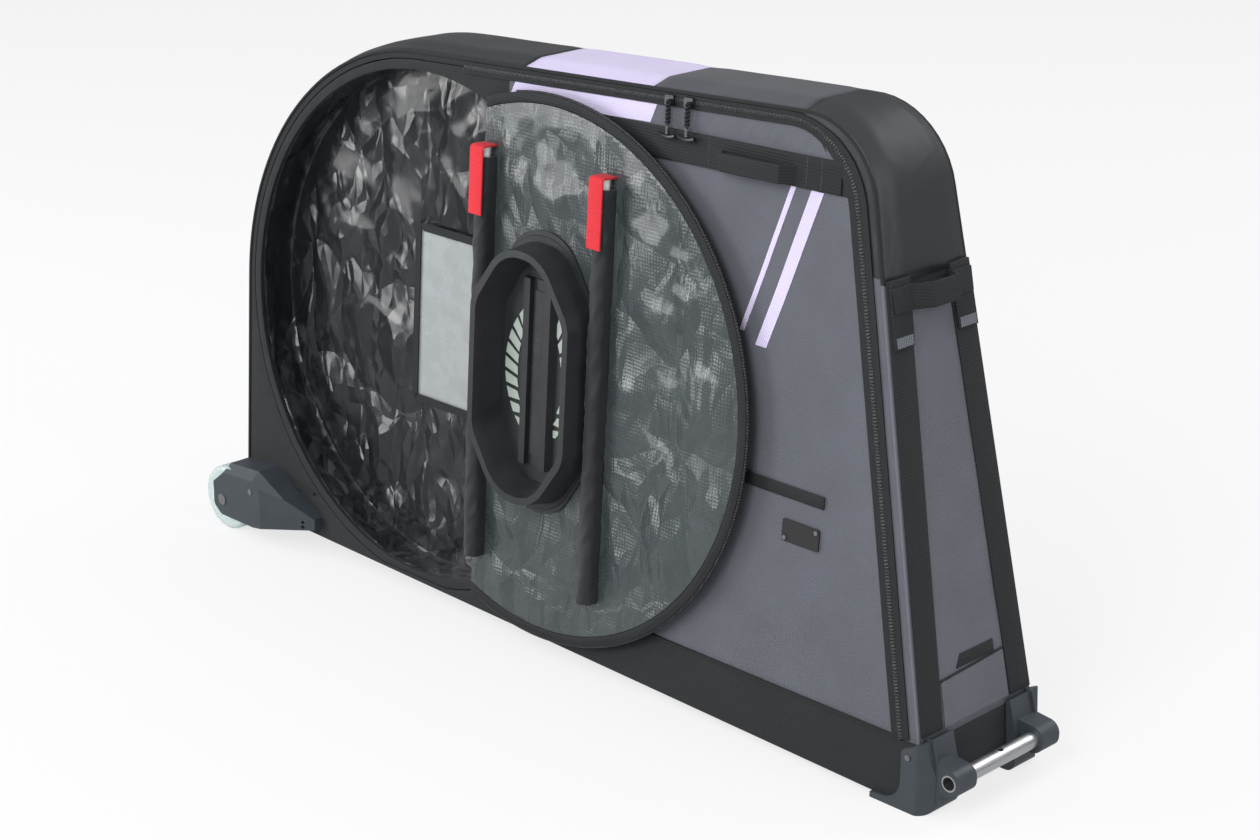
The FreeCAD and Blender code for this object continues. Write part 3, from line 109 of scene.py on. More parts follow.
class TravelCaseSizes(bpy.types.PropertyGroup):
    """Sizes of the case that the cloth follows."""
    rear_reach: length("Rear reach", "Distance of the rear wall behind the middle", 0.683)
    arch_radius: length("Arch radius", "Radius of the rear arch", 0.404)
    top_height: length("Top height", "Height of the top over the middle", 0.834)
    top_rise: length("Top rise", "Rise of the top for one metre forward", 0.0524, "NONE")
    end_reach: length("End reach", "Distance of the end ahead of the middle, at the tray's top", 0.680)
    end_lean: length("End lean", "Lean of the end for one metre up", 0.2019, "NONE")
    hood_radius: length("Hood radius", "Radius of the front top corner", 0.120)
    half_base: length("Half width", "Half the width of the case at the floor", 0.1195)
    side_lean: length("Side lean", "Lean of a side for one metre up", 0.058, "NONE")
    tray_height: length("Tray height", "Height of the tray's top", 0.093)
    lilac_start: length("Lilac start", "Rear seam of the lilac top panel", -0.088)
    lilac_end: length("Lilac end", "Front seam of the lilac top panel", 0.157)
    hood_start: length("Hood start", "Rear seam of the front hood", 0.420)
    hood_seam: length("Hood seam", "Height of the hood's lower seam", 0.667)
    hinge_ahead: length("Cover hinge", "Distance of a cover's hinge ahead of its middle", 0.135)
    hinge_out: length("Hinge stand-off", "Distance of a cover's hinge line out of the side", 0.0065)
    open_angle: bpy.props.FloatProperty(name="Cover angle", subtype="ANGLE", default=math.radians(178.7),
                                        description="Angle by which the near cover is folded back")
    cloth_pitch: length("Cloth pitch", "Spacing of the cloth's mesh", 0.012)


class TravelCaseColours(bpy.types.PropertyGroup):
    """Colours of the case's cloth and mouldings."""
    grey: colour("Side cloth", "Woven polyester of the sides and end", "54575f")
    black: colour("Black cloth", "Woven polyester of the arch and tray", "12161a")
    lilac: colour("Lilac cloth", "Printed panel of the top", "cbc2e0")
    charcoal: colour("Charcoal cloth", "Woven polyester of the top's grey panel and the covers' outside", "42454b")
    hood: colour("Hood cloth", "Coated cloth of the front hood", "22272b")
    tarpaulin: colour("Tarpaulin", "Coated cloth of the wheel pockets", "161b1f")
    cover: colour("Cover lining", "Coated woven lining of the covers", "3f4749")
    webbing: colour("Webbing", "Straps, handles and bindings", "0e1317")
    red: colour("Red tape", "Closing tabs of the rod sleeves", "cf1d2b")
    slate: colour("Slate plastic", "Feet and roller housings", "33393f")
    cup: colour("Cup plastic", "Moulded hub cups", "1d2124")
    urethane: colour("Urethane", "Roller tyres", "d3e2e0")


def sizes():
    return bpy.context.scene.travel_case_sizes


def colours():
    return bpy.context.scene.travel_case_colours


# Where things are on the leaning sides, the covers, the end and the round outline

def side_point(side, x, out, up):
    """A point on a side: x along the case, out of its face and up its lean."""
    s = sizes()
    lean = math.atan(s.side_lean)
    y = side * (s.half_base + out * math.cos(lean) - up * math.sin(lean))
    return Vector((x, y, out * math.sin(lean) + up * math.cos(lean)))


def side_normal(side):
    return side_point(side, 0, 1, 0) - side_point(side, 0, 0, 0)


def side_upright(side):
    return side_point(side, 0, 0, 1) - side_point(side, 0, 0, 0)


def up_side(z):
    """Distance up a leaning side to a height."""
    return z / math.cos(math.atan(sizes().side_lean))


def arch_centre():
    """Middle of the rear arch, which is also the middle of the wheel pockets."""
    s = sizes()
    x = s.arch_radius - s.rear_reach
    return x, s.top_height + s.top_rise * x - s.arch_radius * math.hypot(1, s.top_rise)


def cover_point(side, x, out, up):
    """A point of a round cover, given where it would be with the cover shut."""
    s = sizes()
    if side == FAR:
        return side_point(side, x, out, up)
    hinge = arch_centre()[0] + s.hinge_ahead
    along, across = x - hinge, s.hinge_out - out
    turned_x = along * math.cos(s.open_angle) - across * math.sin(s.open_angle)
    turned_y = along * math.sin(s.open_angle) + across * math.cos(s.open_angle)
    return side_point(side, hinge + turned_x, s.hinge_out - turned_y, up)


def hub_point(side, x, out, up):
    """A point of a round cover, counted from the cover's middle."""
    middle_x, middle_z = arch_centre()
    return cover_point(side, middle_x + x, out, up_side(middle_z) + up)


def lining_normal(side):
    """Direction that the lining of a cover looks in."""
    return cover_point(side, 0, -1, 0) - cover_point(side, 0, 0, 0)


def end_point(out, y, up):
    """A point on the leaning end: out of its face, across it, and up it from the tray's top."""
    s = sizes()
    lean = math.atan(s.end_lean)
    return Vector((s.end_reach + out * math.cos(lean) - up * math.sin(lean), y,
                   s.tray_height + out * math.sin(lean) + up * math.cos(lean)))


class Route:
    """A line through points that gives its place and direction at any distance along it."""

    def __init__(self, points):
        self.points = [Vector(p) for p in points]
        self.marks = [0.0]
        for a, b in zip(self.points, self.points[1:]):
            self.marks.append(self.marks[-1] + (b - a).length)
        self.length = self.marks[-1]

    def at(self, distance):
        distance = min(max(distance, 0.0), self.length)
        i = max(bisect.bisect_left(self.marks, distance) - 1, 0)
        first, second = self.points[i:i + 2]
        share = (distance - self.marks[i]) / (self.marks[i + 1] - self.marks[i])
        return first.lerp(second, share), (second - first).normalized()

    def where(self, test):
        """Distance of the first point that passes a test, or of the end."""
        return next((mark for mark, point in zip(self.marks, self.points) if test(point)), self.length)


def arc(centre, radius, start, end, steps):
    """Points (x, z) on an arc between two angles."""
    turns = [start + (end - start) * i / steps for i in range(steps + 1)]
    return [(centre[0] + radius * math.cos(t), centre[1] + radius * math.sin(t)) for t in turns]


def frame_loop(middle, across, up, width, height):
    """A closed rectangular route about a middle point."""
    steps = ((-1, -1), (1, -1), (1, 1), (-1, 1), (-1, -1))
    return Route([middle + across * (width / 2 * i) + up * (height / 2 * j) for i, j in steps])


def band_route(inset=0.0, front=0.0, radius=None):
    """Outline of the case from the tray's rear over the top and down the end.

    It is drawn in by an inset, and at the end by front more.
    """
    s = sizes()
    radius = s.hood_radius - inset if radius is None else radius
    rise_angle = math.pi / 2 + math.atan(s.top_rise)
    end_length = math.hypot(1, s.end_lean)
    shelf = s.top_height - (radius + inset) * math.hypot(1, s.top_rise)
    hood_x = s.end_reach - (radius + inset + front) * end_length - s.end_lean * (shelf - s.tray_height)
    hood_x /= 1 + s.end_lean * s.top_rise
    hood = hood_x, shelf + s.top_rise * hood_x
    corners = [(inset - s.rear_reach, s.tray_height)]
    corners += arc(arch_centre(), s.arch_radius - inset, math.pi, rise_angle, 60)
    corners += arc(hood, radius, rise_angle, math.atan(s.end_lean), 24)
    corners += [(s.end_reach - (inset + front) * end_length, s.tray_height)]
    fine = []
    for a, b in zip(corners, corners[1:]):
        steps = max(1, round(math.dist(a, b) / 0.01))
        fine += [Vector(a).lerp(Vector(b), i / steps) for i in range(steps)]
    return Route(fine + [Vector(corners[-1])])


def hood_seam_on(route):
    """Distance along the outline of the hood's lower seam."""
    s = sizes()
    return route.where(lambda p: p.x >= s.hood_start and p.y <= s.hood_seam)


# Mesh helpers

def grid_mesh(columns, rows, place, width=1.0, height=1.0):
    """A grid whose point at shares u and v goes to place(u, v); its UVs run to width and height in metres."""
    bm = bmesh.new()
    uv = bm.loops.layers.uv.new("UVMap")
    bmesh.ops.create_grid(bm, x_segments=columns, y_segments=rows, size=0.5, calc_uvs=True)
    for face in bm.faces:
        for loop in face.loops:
            loop[uv].uv = (loop[uv].uv[0] * width, loop[uv].uv[1] * height)
    for vert in bm.verts:
        vert.co = place(vert.co.x + 0.5, vert.co.y + 0.5)
    return bm


def box_uv(bm):
    """UVs in metres, laid flat from the axis that each face looks along most."""
    uv = bm.loops.layers.uv.verify()
    for face in bm.faces:
        normal = [abs(c) for c in face.normal]
        first, second = [(1, 2), (0, 2), (0, 1)][normal.index(max(normal))]
        for loop in face.loops:
            loop[uv].uv = (loop.vert.co[first], loop.vert.co[second])


def turn_faces(bm, out):
    """Make all faces look the same way, on the whole towards out."""
    bmesh.ops.recalc_face_normals(bm, faces=bm.faces)
    if sum(face.normal.dot(out) for face in bm.faces) < 0:
        bmesh.ops.reverse_faces(bm, faces=bm.faces)


def slice_mesh(bm, axis, pitch):
    """Cut the whole mesh by planes a pitch apart, so that it can bend."""
    places = [vert.co[axis] for vert in bm.verts]
    low, high = min(places), max(places)
    normal = Vector((0, 0, 0))
    normal[axis] = 1
    for i in range(1, int((high - low) / pitch) + 1):
        bmesh.ops.bisect_plane(bm, geom=bm.verts[:] + bm.edges[:] + bm.faces[:], dist=FINE_WELD,
                               plane_co=normal * (low + i * pitch), plane_no=normal)


def soft_copy(node, rounding, axes, pitch, move=None):
    """A copy of a CAD node cut fine enough to bend, with its points moved by move(point, distance to an edge)."""
    bm = bmesh.new()
    bm.from_mesh(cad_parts[node].data)
    bmesh.ops.remove_doubles(bm, verts=bm.verts, dist=WELD)
    bmesh.ops.dissolve_limit(bm, angle_limit=math.radians(0.4), verts=bm.verts, edges=bm.edges)
    edges = [e for e in bm.edges if e.is_manifold and e.calc_face_angle() > SHARP]
    spots = []
    for edge in edges:
        steps = max(1, int(edge.calc_length() / 0.01))
        spots += [edge.verts[0].co.lerp(edge.verts[1].co, i / steps) for i in range(steps + 1)]
    tree = kdtree.KDTree(len(spots))
    for i, spot in enumerate(spots):
        tree.insert(spot, i)
    tree.balance()
    if rounding:
        bmesh.ops.bevel(bm, geom=edges, offset=rounding, segments=2, profile=0.5, affect="EDGES", material=-1,
                        clamp_overlap=True)
    for axis in axes:
        slice_mesh(bm, axis, pitch)
    box_uv(bm)
    if move:
        for vert in bm.verts:
            vert.co += move(vert.co, tree.find(vert.co)[2])
    return bm


def round_tube(route, radius, out, sides=8, pitch=0.008, start=0.0, end=None, flat=1.0):
    """A closed tube along a route, wider by flat than it stands out of a face that looks out."""
    reach = (route.length if end is None else end) - start

    def place(u, v):
        centre, ahead = route.at(start + u * reach)
        side = ahead.cross(out).normalized()
        turn = 2 * math.pi * v
        return centre + (side * math.cos(turn) * flat + out * math.sin(turn)) * radius

    bm = grid_mesh(max(2, round(reach / pitch)), sides, place, reach, 2 * math.pi * radius)
    bmesh.ops.remove_doubles(bm, verts=bm.verts, dist=FINE_WELD)
    bmesh.ops.holes_fill(bm, edges=[e for e in bm.edges if e.is_boundary], sides=0)
    return bm


def thicken(bm, out, thickness):
    """Give a flat mesh a thickness on the side that it faces."""
    turn_faces(bm, out)
    skin = bmesh.ops.extrude_face_region(bm, geom=bm.faces[:])
    raised = [v for v in skin["geom"] if isinstance(v, bmesh.types.BMVert)]
    bmesh.ops.translate(bm, vec=out * thickness, verts=raised)
    bmesh.ops.recalc_face_normals(bm, faces=bm.faces)
    return bm


def ribbon(route, width, thickness, out, start=0.0, lean=0.0):
    """A tape along a route on a face that looks out; lean puts it to one side of the route."""
    reach = route.length - start

    def place(u, v):
        centre, ahead = route.at(start + u * reach)
        across = ahead.cross(out).normalized()
        return centre + across * (width(centre) if callable(width) else width) * (v - 0.5 + lean / 2)

    columns = max(2, round(reach / TAPE_PITCH))
    return thicken(grid_mesh(columns, 4, place, reach, 0.02 if callable(width) else width), out, thickness)


def flat_patch(corners, pitch=TAPE_PITCH):
    """A four-cornered flat mesh; the corners go round it."""
    first, second, third, fourth = [Vector(c) for c in corners]
    width, height = (second - first).length, (fourth - first).length
    return grid_mesh(max(2, round(width / pitch)), max(2, round(height / pitch)),
                     lambda u, v: first.lerp(second, u).lerp(fourth.lerp(third, u), v), width, height)


def drape(bm, piece, out):
    """Lay a flat mesh on the outer face of a piece, which is seen from the direction out."""
    mesh = bpy.data.objects[piece].data
    tree = bvhtree.BVHTree.FromPolygons([v.co for v in mesh.vertices], [f.vertices for f in mesh.polygons])
    for vert in bm.verts:
        vert.co = tree.ray_cast(vert.co + out * 0.05, -out)[0] or vert.co
    return bm


def stitch_row(bm, start, end, out, pitch=0.005):
    """A row of thread stitches between two points of a face that looks out."""
    step = end - start
    ahead = step.normalized()
    turned = Matrix((ahead, out.cross(ahead), out)).transposed().to_4x4()
    for i in range(round(step.length / pitch)):
        spot = Matrix.Translation(start + ahead * pitch * (i + 0.5)) @ turned
        bmesh.ops.create_cube(bm, size=1.0, matrix=spot @ Matrix.Diagonal((*STITCH, 1)))


def new_mesh(bm, name):
    """Mesh data made from a bmesh, which is freed."""
    mesh = bpy.data.meshes.new(name)
    bm.to_mesh(mesh)
    bm.free()
    return mesh


def add_object(name, data):
    item = bpy.data.objects.new(name, data)
    bpy.context.scene.collection.objects.link(item)
    return item


def add_piece(bm, name, body, finish, nodes=(), thickness=0.0):
    """Make the mesh a piece that rides on a body, stands for CAD nodes and takes the finish of the given name.

    A mesh that gets a thickness here has had its faces turned outwards.
    """
    if not thickness:
        bmesh.ops.recalc_face_normals(bm, faces=bm.faces)
    for face in bm.faces:
        face.smooth = True
    for edge in bm.edges:
        edge.smooth = not edge.is_manifold or edge.calc_face_angle() < SHARP
    piece = add_object(name, new_mesh(bm, name))
    piece.data.materials.append(finish_of(finish))
    if thickness:
        wall = piece.modifiers.new("Thickness", "SOLIDIFY")
        wall.thickness = thickness
        wall.offset = -1
    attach(piece, body)
    if nodes:
        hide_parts(*nodes)
    return piece


def soft_piece(node, name, body, finish, rounding, axes=(), pitch=0.0, move=None):
    """A piece that stands for one CAD node and is a soft copy of it."""
    return add_piece(soft_copy(node, rounding, axes, pitch, move), name, body, finish, [node])


def recolour(piece, finish, test):
    """Give the faces that pass a test another finish."""
    piece.data.materials.append(finish_of(finish))
    for face in piece.data.polygons:
        if test(face):
            face.material_index = len(piece.data.materials) - 1


def paint(nodes, finish):
    """Give CAD nodes that keep their shape a finish."""
    for name in nodes:
        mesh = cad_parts[name].data
        mesh.materials.clear()
        mesh.materials.append(finish_of(finish))


# Materials

def new_material(name):
    material = bpy.data.materials.new(name)
    material.use_nodes = True
    tree = material.node_tree
    return material, tree, tree.nodes["Principled BSDF"]


def add_node(tree, kind, settings=None, **inputs):
    """Add a shader node, set its settings, and set or link its inputs."""
    item = tree.nodes.new("ShaderNode" + kind)
    for key, value in (settings or {}).items():
        setattr(item, key, value)
    connect(tree, item, **inputs)
    return item


def connect(tree, item, **inputs):
    """Set or link inputs by name, with spaces written as underscores, or by number as in_0.

    A node given as a value is linked by its Fac output, or by its first one if it has none.
    """
    for key, value in inputs.items():
        socket = item.inputs[int(key[3:])] if key.startswith("in_") else item.inputs[key.replace("_", " ")]
        if isinstance(value, bpy.types.Node):
            value = value.outputs.get("Fac", value.outputs[0])
        if isinstance(value, bpy.types.NodeSocket):
            tree.links.new(value, socket)
        else:
            socket.default_value = value


def band_scale(spacing):
    """Scale of a wave texture whose bands are a spacing apart, in metres."""
    return math.pi / (10 * spacing)


def crossed_bands(tree, place, spacing, **settings):
    """Threads or tapes that cross, a spacing in metres apart."""
    warp, weft = [add_node(tree, "TexWave", {"bands_direction": way}, Vector=place.outputs["UV"],
                           Scale=band_scale(spacing), **settings) for way in "XY"]
    return add_node(tree, "Math", {"operation": "MULTIPLY"}, in_0=warp, in_1=weft)


def set_surface(tree, surface, tint, tone, height, distance, strength, **settings):
    """Shade a tint by a tone, raise the surface by a height over a distance, and set the rest."""
    shaded = add_node(tree, "VectorMath", {"operation": "SCALE"}, in_0=tint[:3], Scale=tone)
    bump = add_node(tree, "Bump", Height=height, Distance=distance, Strength=strength)
    connect(tree, surface, Base_Color=shaded, Normal=bump, **settings)


def woven_cloth(name, tint, spacing=3.2, depth=0.25, roughness=0.8, mottle=0.12, sheen=0.05):
    """Woven polyester: matte, with crossing threads drawn coarser than the real 0.5 mm so that they show, and
    painted shade in the pits between them.
    """
    material, tree, surface = new_material(name)
    place = add_node(tree, "TexCoord")
    threads = crossed_bands(tree, place, spacing * MM, Distortion=0.6, Detail=1.0)
    cloud = add_node(tree, "TexNoise", Vector=place.outputs["Object"], Scale=14.0, Detail=6.0)
    fibre = add_node(tree, "TexNoise", Vector=place.outputs["Object"], Scale=650.0, Detail=2.0)
    grain = add_node(tree, "Math", {"operation": "MULTIPLY_ADD"}, in_0=fibre, in_1=0.6, in_2=cloud)
    tone = add_node(tree, "MapRange", Value=grain, From_Min=0.45, From_Max=1.15, To_Min=1 - mottle,
                    To_Max=1 + mottle)
    # Painted shade: the colour is darker in the pits between threads, where the bump is low
    pit_shade = add_node(tree, "MapRange", Value=threads, To_Min=0.84, To_Max=1.06)
    both = add_node(tree, "Math", {"operation": "MULTIPLY"}, in_0=tone, in_1=pit_shade)
    set_surface(tree, surface, tint, both, threads, depth * MM, 0.7, Roughness=roughness, Sheen_Weight=sheen,
                Sheen_Roughness=0.5)
    return material


def coated_cloth(name, tint, tilt, cell, roughness, grid=0.0, gloss_spread=0.2, coat=0.4):
    """Tarpaulin: a smooth coating over woven tapes, glossy, crumpled into flat facets that catch the light, with
    painted highlights on the fold crests and painted shade between them.
    """
    material, tree, surface = new_material(name)
    place = add_node(tree, "TexCoord")
    drift = add_node(tree, "TexNoise", Vector=place.outputs["Object"], Scale=7.0, Detail=3.0)
    bent = add_node(tree, "VectorMath", {"operation": "MULTIPLY_ADD"}, in_0=drift.outputs["Color"],
                    in_1=(0.07, 0.07, 0.07), in_2=place.outputs["Object"])
    upright = add_node(tree, "Mapping", Vector=bent, Scale=(1.0, 1.0, 0.6))
    folds = add_node(tree, "TexNoise", {"noise_type": "RIDGED_MULTIFRACTAL"}, Vector=upright,
                     Scale=0.8 / (cell * MM), Detail=5.0, Roughness=0.5, Distortion=0.6)
    height = add_node(tree, "Math", {"operation": "MULTIPLY"}, in_0=folds, in_1=6.0 * tilt * MM)
    # Flat facets that meet in creases; a finer set lies over the coarse one
    for size, lean in ((cell * MM, 1.0), (cell * 0.42 * MM, 0.6)):
        facet = add_node(tree, "TexVoronoi", {"feature": "DISTANCE_TO_EDGE"}, Vector=upright, Scale=1 / size)
        height = add_node(tree, "Math", {"operation": "MULTIPLY_ADD"}, in_0=facet, in_1=lean * tilt * size,
                          in_2=height)
    if grid:
        tapes = crossed_bands(tree, place, grid * MM)
        height = add_node(tree, "Math", {"operation": "MULTIPLY_ADD"}, in_0=tapes, in_1=0.3 * MM, in_2=height)
    wear = add_node(tree, "TexNoise", Vector=place.outputs["Object"], Scale=9.0, Detail=4.0)
    gloss = add_node(tree, "MapRange", Value=wear, From_Min=0.3, From_Max=0.7, To_Min=roughness,
                     To_Max=roughness + gloss_spread)
    # Painted highlight and shade: the colour is lighter on the fold crests and darker in the hollows between them
    tone = add_node(tree, "MapRange", Value=folds, From_Max=2.0, To_Min=0.8, To_Max=1.3)
    set_surface(tree, surface, tint, tone, height, 1.0, 1.0, Roughness=gloss, IOR=1.5, Coat_Weight=coat,
                Coat_Roughness=0.12)
    return material


def ribbed_webbing(name, tint, rib=4.0, roughness=0.75, direction="Y", contrast=0.25, depth=0.3):
    """Nylon webbing and zip tape: ribs along the band and a fine cross weave, drawn coarse enough to show, with
    painted shade in the grooves and painted highlight on the ribs.
    """
    material, tree, surface = new_material(name)
    place = add_node(tree, "TexCoord")
    ribs = add_node(tree, "TexWave", {"bands_direction": direction}, Vector=place.outputs["UV"],
                    Scale=band_scale(rib * MM))
    cross = add_node(tree, "TexWave", {"bands_direction": "DIAGONAL"}, Vector=place.outputs["UV"],
                     Scale=band_scale(2.5 * MM), Distortion=0.4)
    weave = add_node(tree, "Math", {"operation": "MULTIPLY_ADD"}, in_0=cross, in_1=0.5, in_2=ribs)
    # Painted shade and highlight: the colour is darker in the grooves and lighter on the ribs, by contrast; on the
    # pale stitching the bands also stand for rows of thread
    tone = add_node(tree, "MapRange", Value=weave, From_Max=1.5, To_Min=1 - contrast, To_Max=1 + contrast)
    set_surface(tree, surface, tint, tone, weave, depth * MM, 0.8, Roughness=roughness, Sheen_Weight=0.03,
                Sheen_Roughness=0.4)
    return material


def moulded_plastic(name, tint, roughness=0.5, grain=0.06):
    """Moulded polypropylene: an even skin with a fine spark-eroded grain and faint handling marks."""
    material, tree, surface = new_material(name)
    place = add_node(tree, "TexCoord")
    skin = add_node(tree, "TexNoise", Vector=place.outputs["Object"], Scale=900.0, Detail=3.0)
    marks = add_node(tree, "TexNoise", Vector=place.outputs["Object"], Scale=35.0, Detail=6.0)
    gloss = add_node(tree, "MapRange", Value=marks, From_Min=0.3, From_Max=0.7, To_Min=roughness - 0.07,
                     To_Max=roughness + 0.1)
    tone = add_node(tree, "MapRange", Value=marks, To_Min=0.88, To_Max=1.12)
    set_surface(tree, surface, tint, tone, skin, grain * MM, 0.5, Roughness=gloss, IOR=1.49)
    return material


def drawn_metal(name, tint, roughness=0.35, stretch=(60.0, 4.0, 60.0)):
    """Satin drawn metal: fine lines along the draw and small changes of gloss."""
    material, tree, surface = new_material(name)
    place = add_node(tree, "TexCoord")
    drawn = add_node(tree, "Mapping", Vector=place.outputs["Object"], Scale=stretch)
    lines = add_node(tree, "TexNoise", Vector=drawn, Scale=12.0, Detail=5.0)
    gloss = add_node(tree, "MapRange", Value=lines, From_Min=0.3, From_Max=0.7, To_Min=roughness - 0.08,
                     To_Max=roughness + 0.1)
    bump = add_node(tree, "Bump", Height=lines, Distance=0.05 * MM, Strength=0.4)
    connect(tree, surface, Base_Color=tint, Metallic=1.0, Roughness=gloss, Normal=bump)
    return material


def cast_urethane(name, tint):
    """Cast urethane: milky, partly see-through and soft in its gloss, with faint scuffs."""
    material, tree, surface = new_material(name)
    place = add_node(tree, "TexCoord")
    scuff = add_node(tree, "TexNoise", Vector=place.outputs["Object"], Scale=60.0, Detail=5.0)
    gloss = add_node(tree, "MapRange", Value=scuff, To_Min=0.2, To_Max=0.45)
    bump = add_node(tree, "Bump", Height=scuff, Distance=0.15 * MM, Strength=0.3)
    connect(tree, surface, Base_Color=tint, Roughness=gloss, Normal=bump, IOR=1.5, Transmission_Weight=0.35,
            Subsurface_Weight=0.3, Subsurface_Radius=(0.01, 0.01, 0.01))
    return material


def make_materials():
    """All finishes of the case by a short name; threads, cells, ribs and depths are in millimetres."""
    c = colours()
    return {
        "grey": woven_cloth("woven_polyester_grey", c.grey),
        "black": woven_cloth("woven_polyester_black", c.black, mottle=0.2),
        "sleeve": woven_cloth("plain_weave_sleeve", linear("1d2227"), 2.4, roughness=0.6, sheen=0.1),
        "lilac": woven_cloth("printed_polyester_lilac", c.lilac, mottle=0.05),
        "charcoal": woven_cloth("woven_polyester_charcoal", c.charcoal, mottle=0.15),
        "hood": coated_cloth("coated_hood_cloth", c.hood, 0.03, 90.0, 0.47, gloss_spread=0.1, coat=0.0),
        "pocket": coated_cloth("tarpaulin_pocket", c.tarpaulin, 0.34, 95.0, 0.18, gloss_spread=0.14),
        "cover": coated_cloth("tarpaulin_cover_lining", c.cover, 0.26, 95.0, 0.2, grid=5.0),
        "webbing": ribbed_webbing("nylon_webbing", c.webbing),
        # The coil's strong contrast is painted shade between its teeth and painted highlight on them
        "coil": ribbed_webbing("nylon_zip_coil", linear("1b1d20"), 4.2, 0.4, "X", contrast=0.7, depth=1.2),
        "piping": ribbed_webbing("pale_piping", linear("5c5f67"), 3.0),
        "red": woven_cloth("hook_and_loop_red", c.red, 2.6, depth=0.5),
        "pale_stitch": ribbed_webbing("pale_stitching", linear("565b61"), 3.4, direction="X", contrast=0.6),
        "thread": moulded_plastic("bonded_nylon_thread", linear("3a3f44"), 0.6),
        "slate": moulded_plastic("moulded_slate_plastic", c.slate, 0.46),
        "cup": moulded_plastic("moulded_cup_plastic", c.cup, grain=0.12),
        "gloss": moulded_plastic("glossy_dark_plastic", linear("2b2d2f"), 0.2, 0.01),
        "mark": moulded_plastic("pale_moulded_mark", linear("9aa59d")),
        "rod": moulded_plastic("white_rod_plastic", linear("e6e6e2"), 0.4),
        "plate": moulded_plastic("pale_plate_plastic", linear("8f9496"), 0.25, 0.02),
        "board": moulded_plastic("black_board_plastic", linear("18181a"), 0.55),
        "foam": woven_cloth("closed_cell_foam", linear("2b2b2e"), 4.0, roughness=0.9),
        "core": moulded_plastic("pale_core_plastic", linear("c6d2d1"), 0.4),
        "patch": moulded_plastic("rubber_patch", linear("1d1d1f"), 0.6, 0.2),
        "aluminium": drawn_metal("satin_aluminium", linear("cfd0d2")),
        "steel": drawn_metal("plain_steel", linear("9b9c9f"), 0.3, (20.0, 20.0, 20.0)),
        "slider": moulded_plastic("lacquered_zip_metal", linear("17181a"), 0.28, 0.02),
        "urethane": cast_urethane("cast_urethane", c.urethane),
    }


finishes = {}


def finish_of(name):
    if not finishes:
        finishes.update(make_materials())
    return finishes[name]


# Soft shapes

def shifted(point, size, seed):
    """A point counted in sizes, moved by a seed so that each cloth has a pattern of its own."""
    return point / size + Vector((seed, seed * 1.7, seed * 0.6))


def ripple(point, size, seed):
    """A smooth uneven value from about -1 to 1 that changes over a size in metres."""
    return noise.noise(shifted(point, size, seed))


def crease(point, size, seed):
    """A value from 0 to 1 with sharp narrow crests, as in creased coated cloth."""
    return (1 - abs(ripple(point, size, seed))) ** 3


def facets(point, size, seed):
    """The distance to the nearest of scattered points, in sizes: the cones of crumpled sheet."""
    return noise.voronoi(shifted(point, size, seed))[0][0]


def settle(distance, reach):
    """How free the cloth is at a distance from a seam, from 0 at the seam to 1 beyond the reach."""
    t = min(max(distance / reach, 0.0), 1.0)
    return t * t * (3 - 2 * t)


def taut(normal, puff, wave, size, seed):
    """A move for padded cloth held at its seams: it swells by puff and waves by wave."""
    def move(point, distance):
        return normal * settle(distance, 0.09) * (puff + wave * ripple(point, size, seed))
    return move


def band_piece(name, node, start, end, finish, crowns, wave, seed, creased=False):
    """A padded panel of the band round the case, between two distances along it, crowned at each end by crowns."""
    route = band_route()
    s = sizes()

    def place(u, v):
        centre, ahead = route.at(start + u * (end - start))
        half = s.half_base - s.side_lean * centre.y
        across = 2 * v - 1
        edge = min(1 - abs(across), 1.0) * half
        seam = min(u, 1 - u) * (end - start)
        free = settle(edge, 0.035) * (0.85 + 0.15 * settle(seam, 0.03))
        crown = crowns[0] + (crowns[1] - crowns[0]) * u
        spot = Vector((centre.x, across * half, centre.y))
        swell = free * (crown + wave * ripple(spot, 0.09, seed))
        if creased:
            swell += free * wave * (crease(spot, 0.12, seed + 3) - 0.3)
        swell -= (1 - settle(edge, 0.006)) * 1.5 * MM
        return spot + Vector((-ahead.y, 0, ahead.x)) * swell

    columns = max(4, round((end - start) / s.cloth_pitch))
    bm = grid_mesh(columns, 26, place, end - start, 2 * s.half_base)
    turn_faces(bm, Vector((0, 0, 1)))
    add_piece(bm, name, "case", finish, [node], thickness=5 * MM)


class TRAVELCASE_OT_band(bpy.types.Operator):
    """Padded band of the rear arch, the top, the hood and the end"""
    bl_idname = "travel_case.band"
    bl_label = "Padded band"

    def execute(self, context):
        s = sizes()
        route = band_route()
        lilac, grey, hood = [route.where(lambda p: p.x >= x and p.y > TOP_ZONE)
                             for x in (s.lilac_start, s.lilac_end, s.hood_start)]
        end = hood_seam_on(route)
        band_piece("rear_arch_cloth", "rear_arch", 0.0, lilac, "black",
                   (3 * MM, 9 * MM), 2 * MM, 1.0)
        band_piece("top_lilac_cloth", "top_panel_lilac", lilac, grey, "lilac",
                   (9 * MM, 9 * MM), 1 * MM, 2.0)
        band_piece("top_grey_cloth", "top_panel_grey", grey, hood, "charcoal",
                   (9 * MM, 9 * MM), 1 * MM, 3.0)
        band_piece("front_hood_cloth", "front_hood", hood, end, "hood",
                   (9 * MM, 3 * MM), 2 * MM, 4.0, creased=True)
        band_piece("end_cloth", "end_panel", end, route.length, "grey",
                   (0.8 * MM, 0.8 * MM), 0.8 * MM, 5.0)
        return {"FINISHED"}


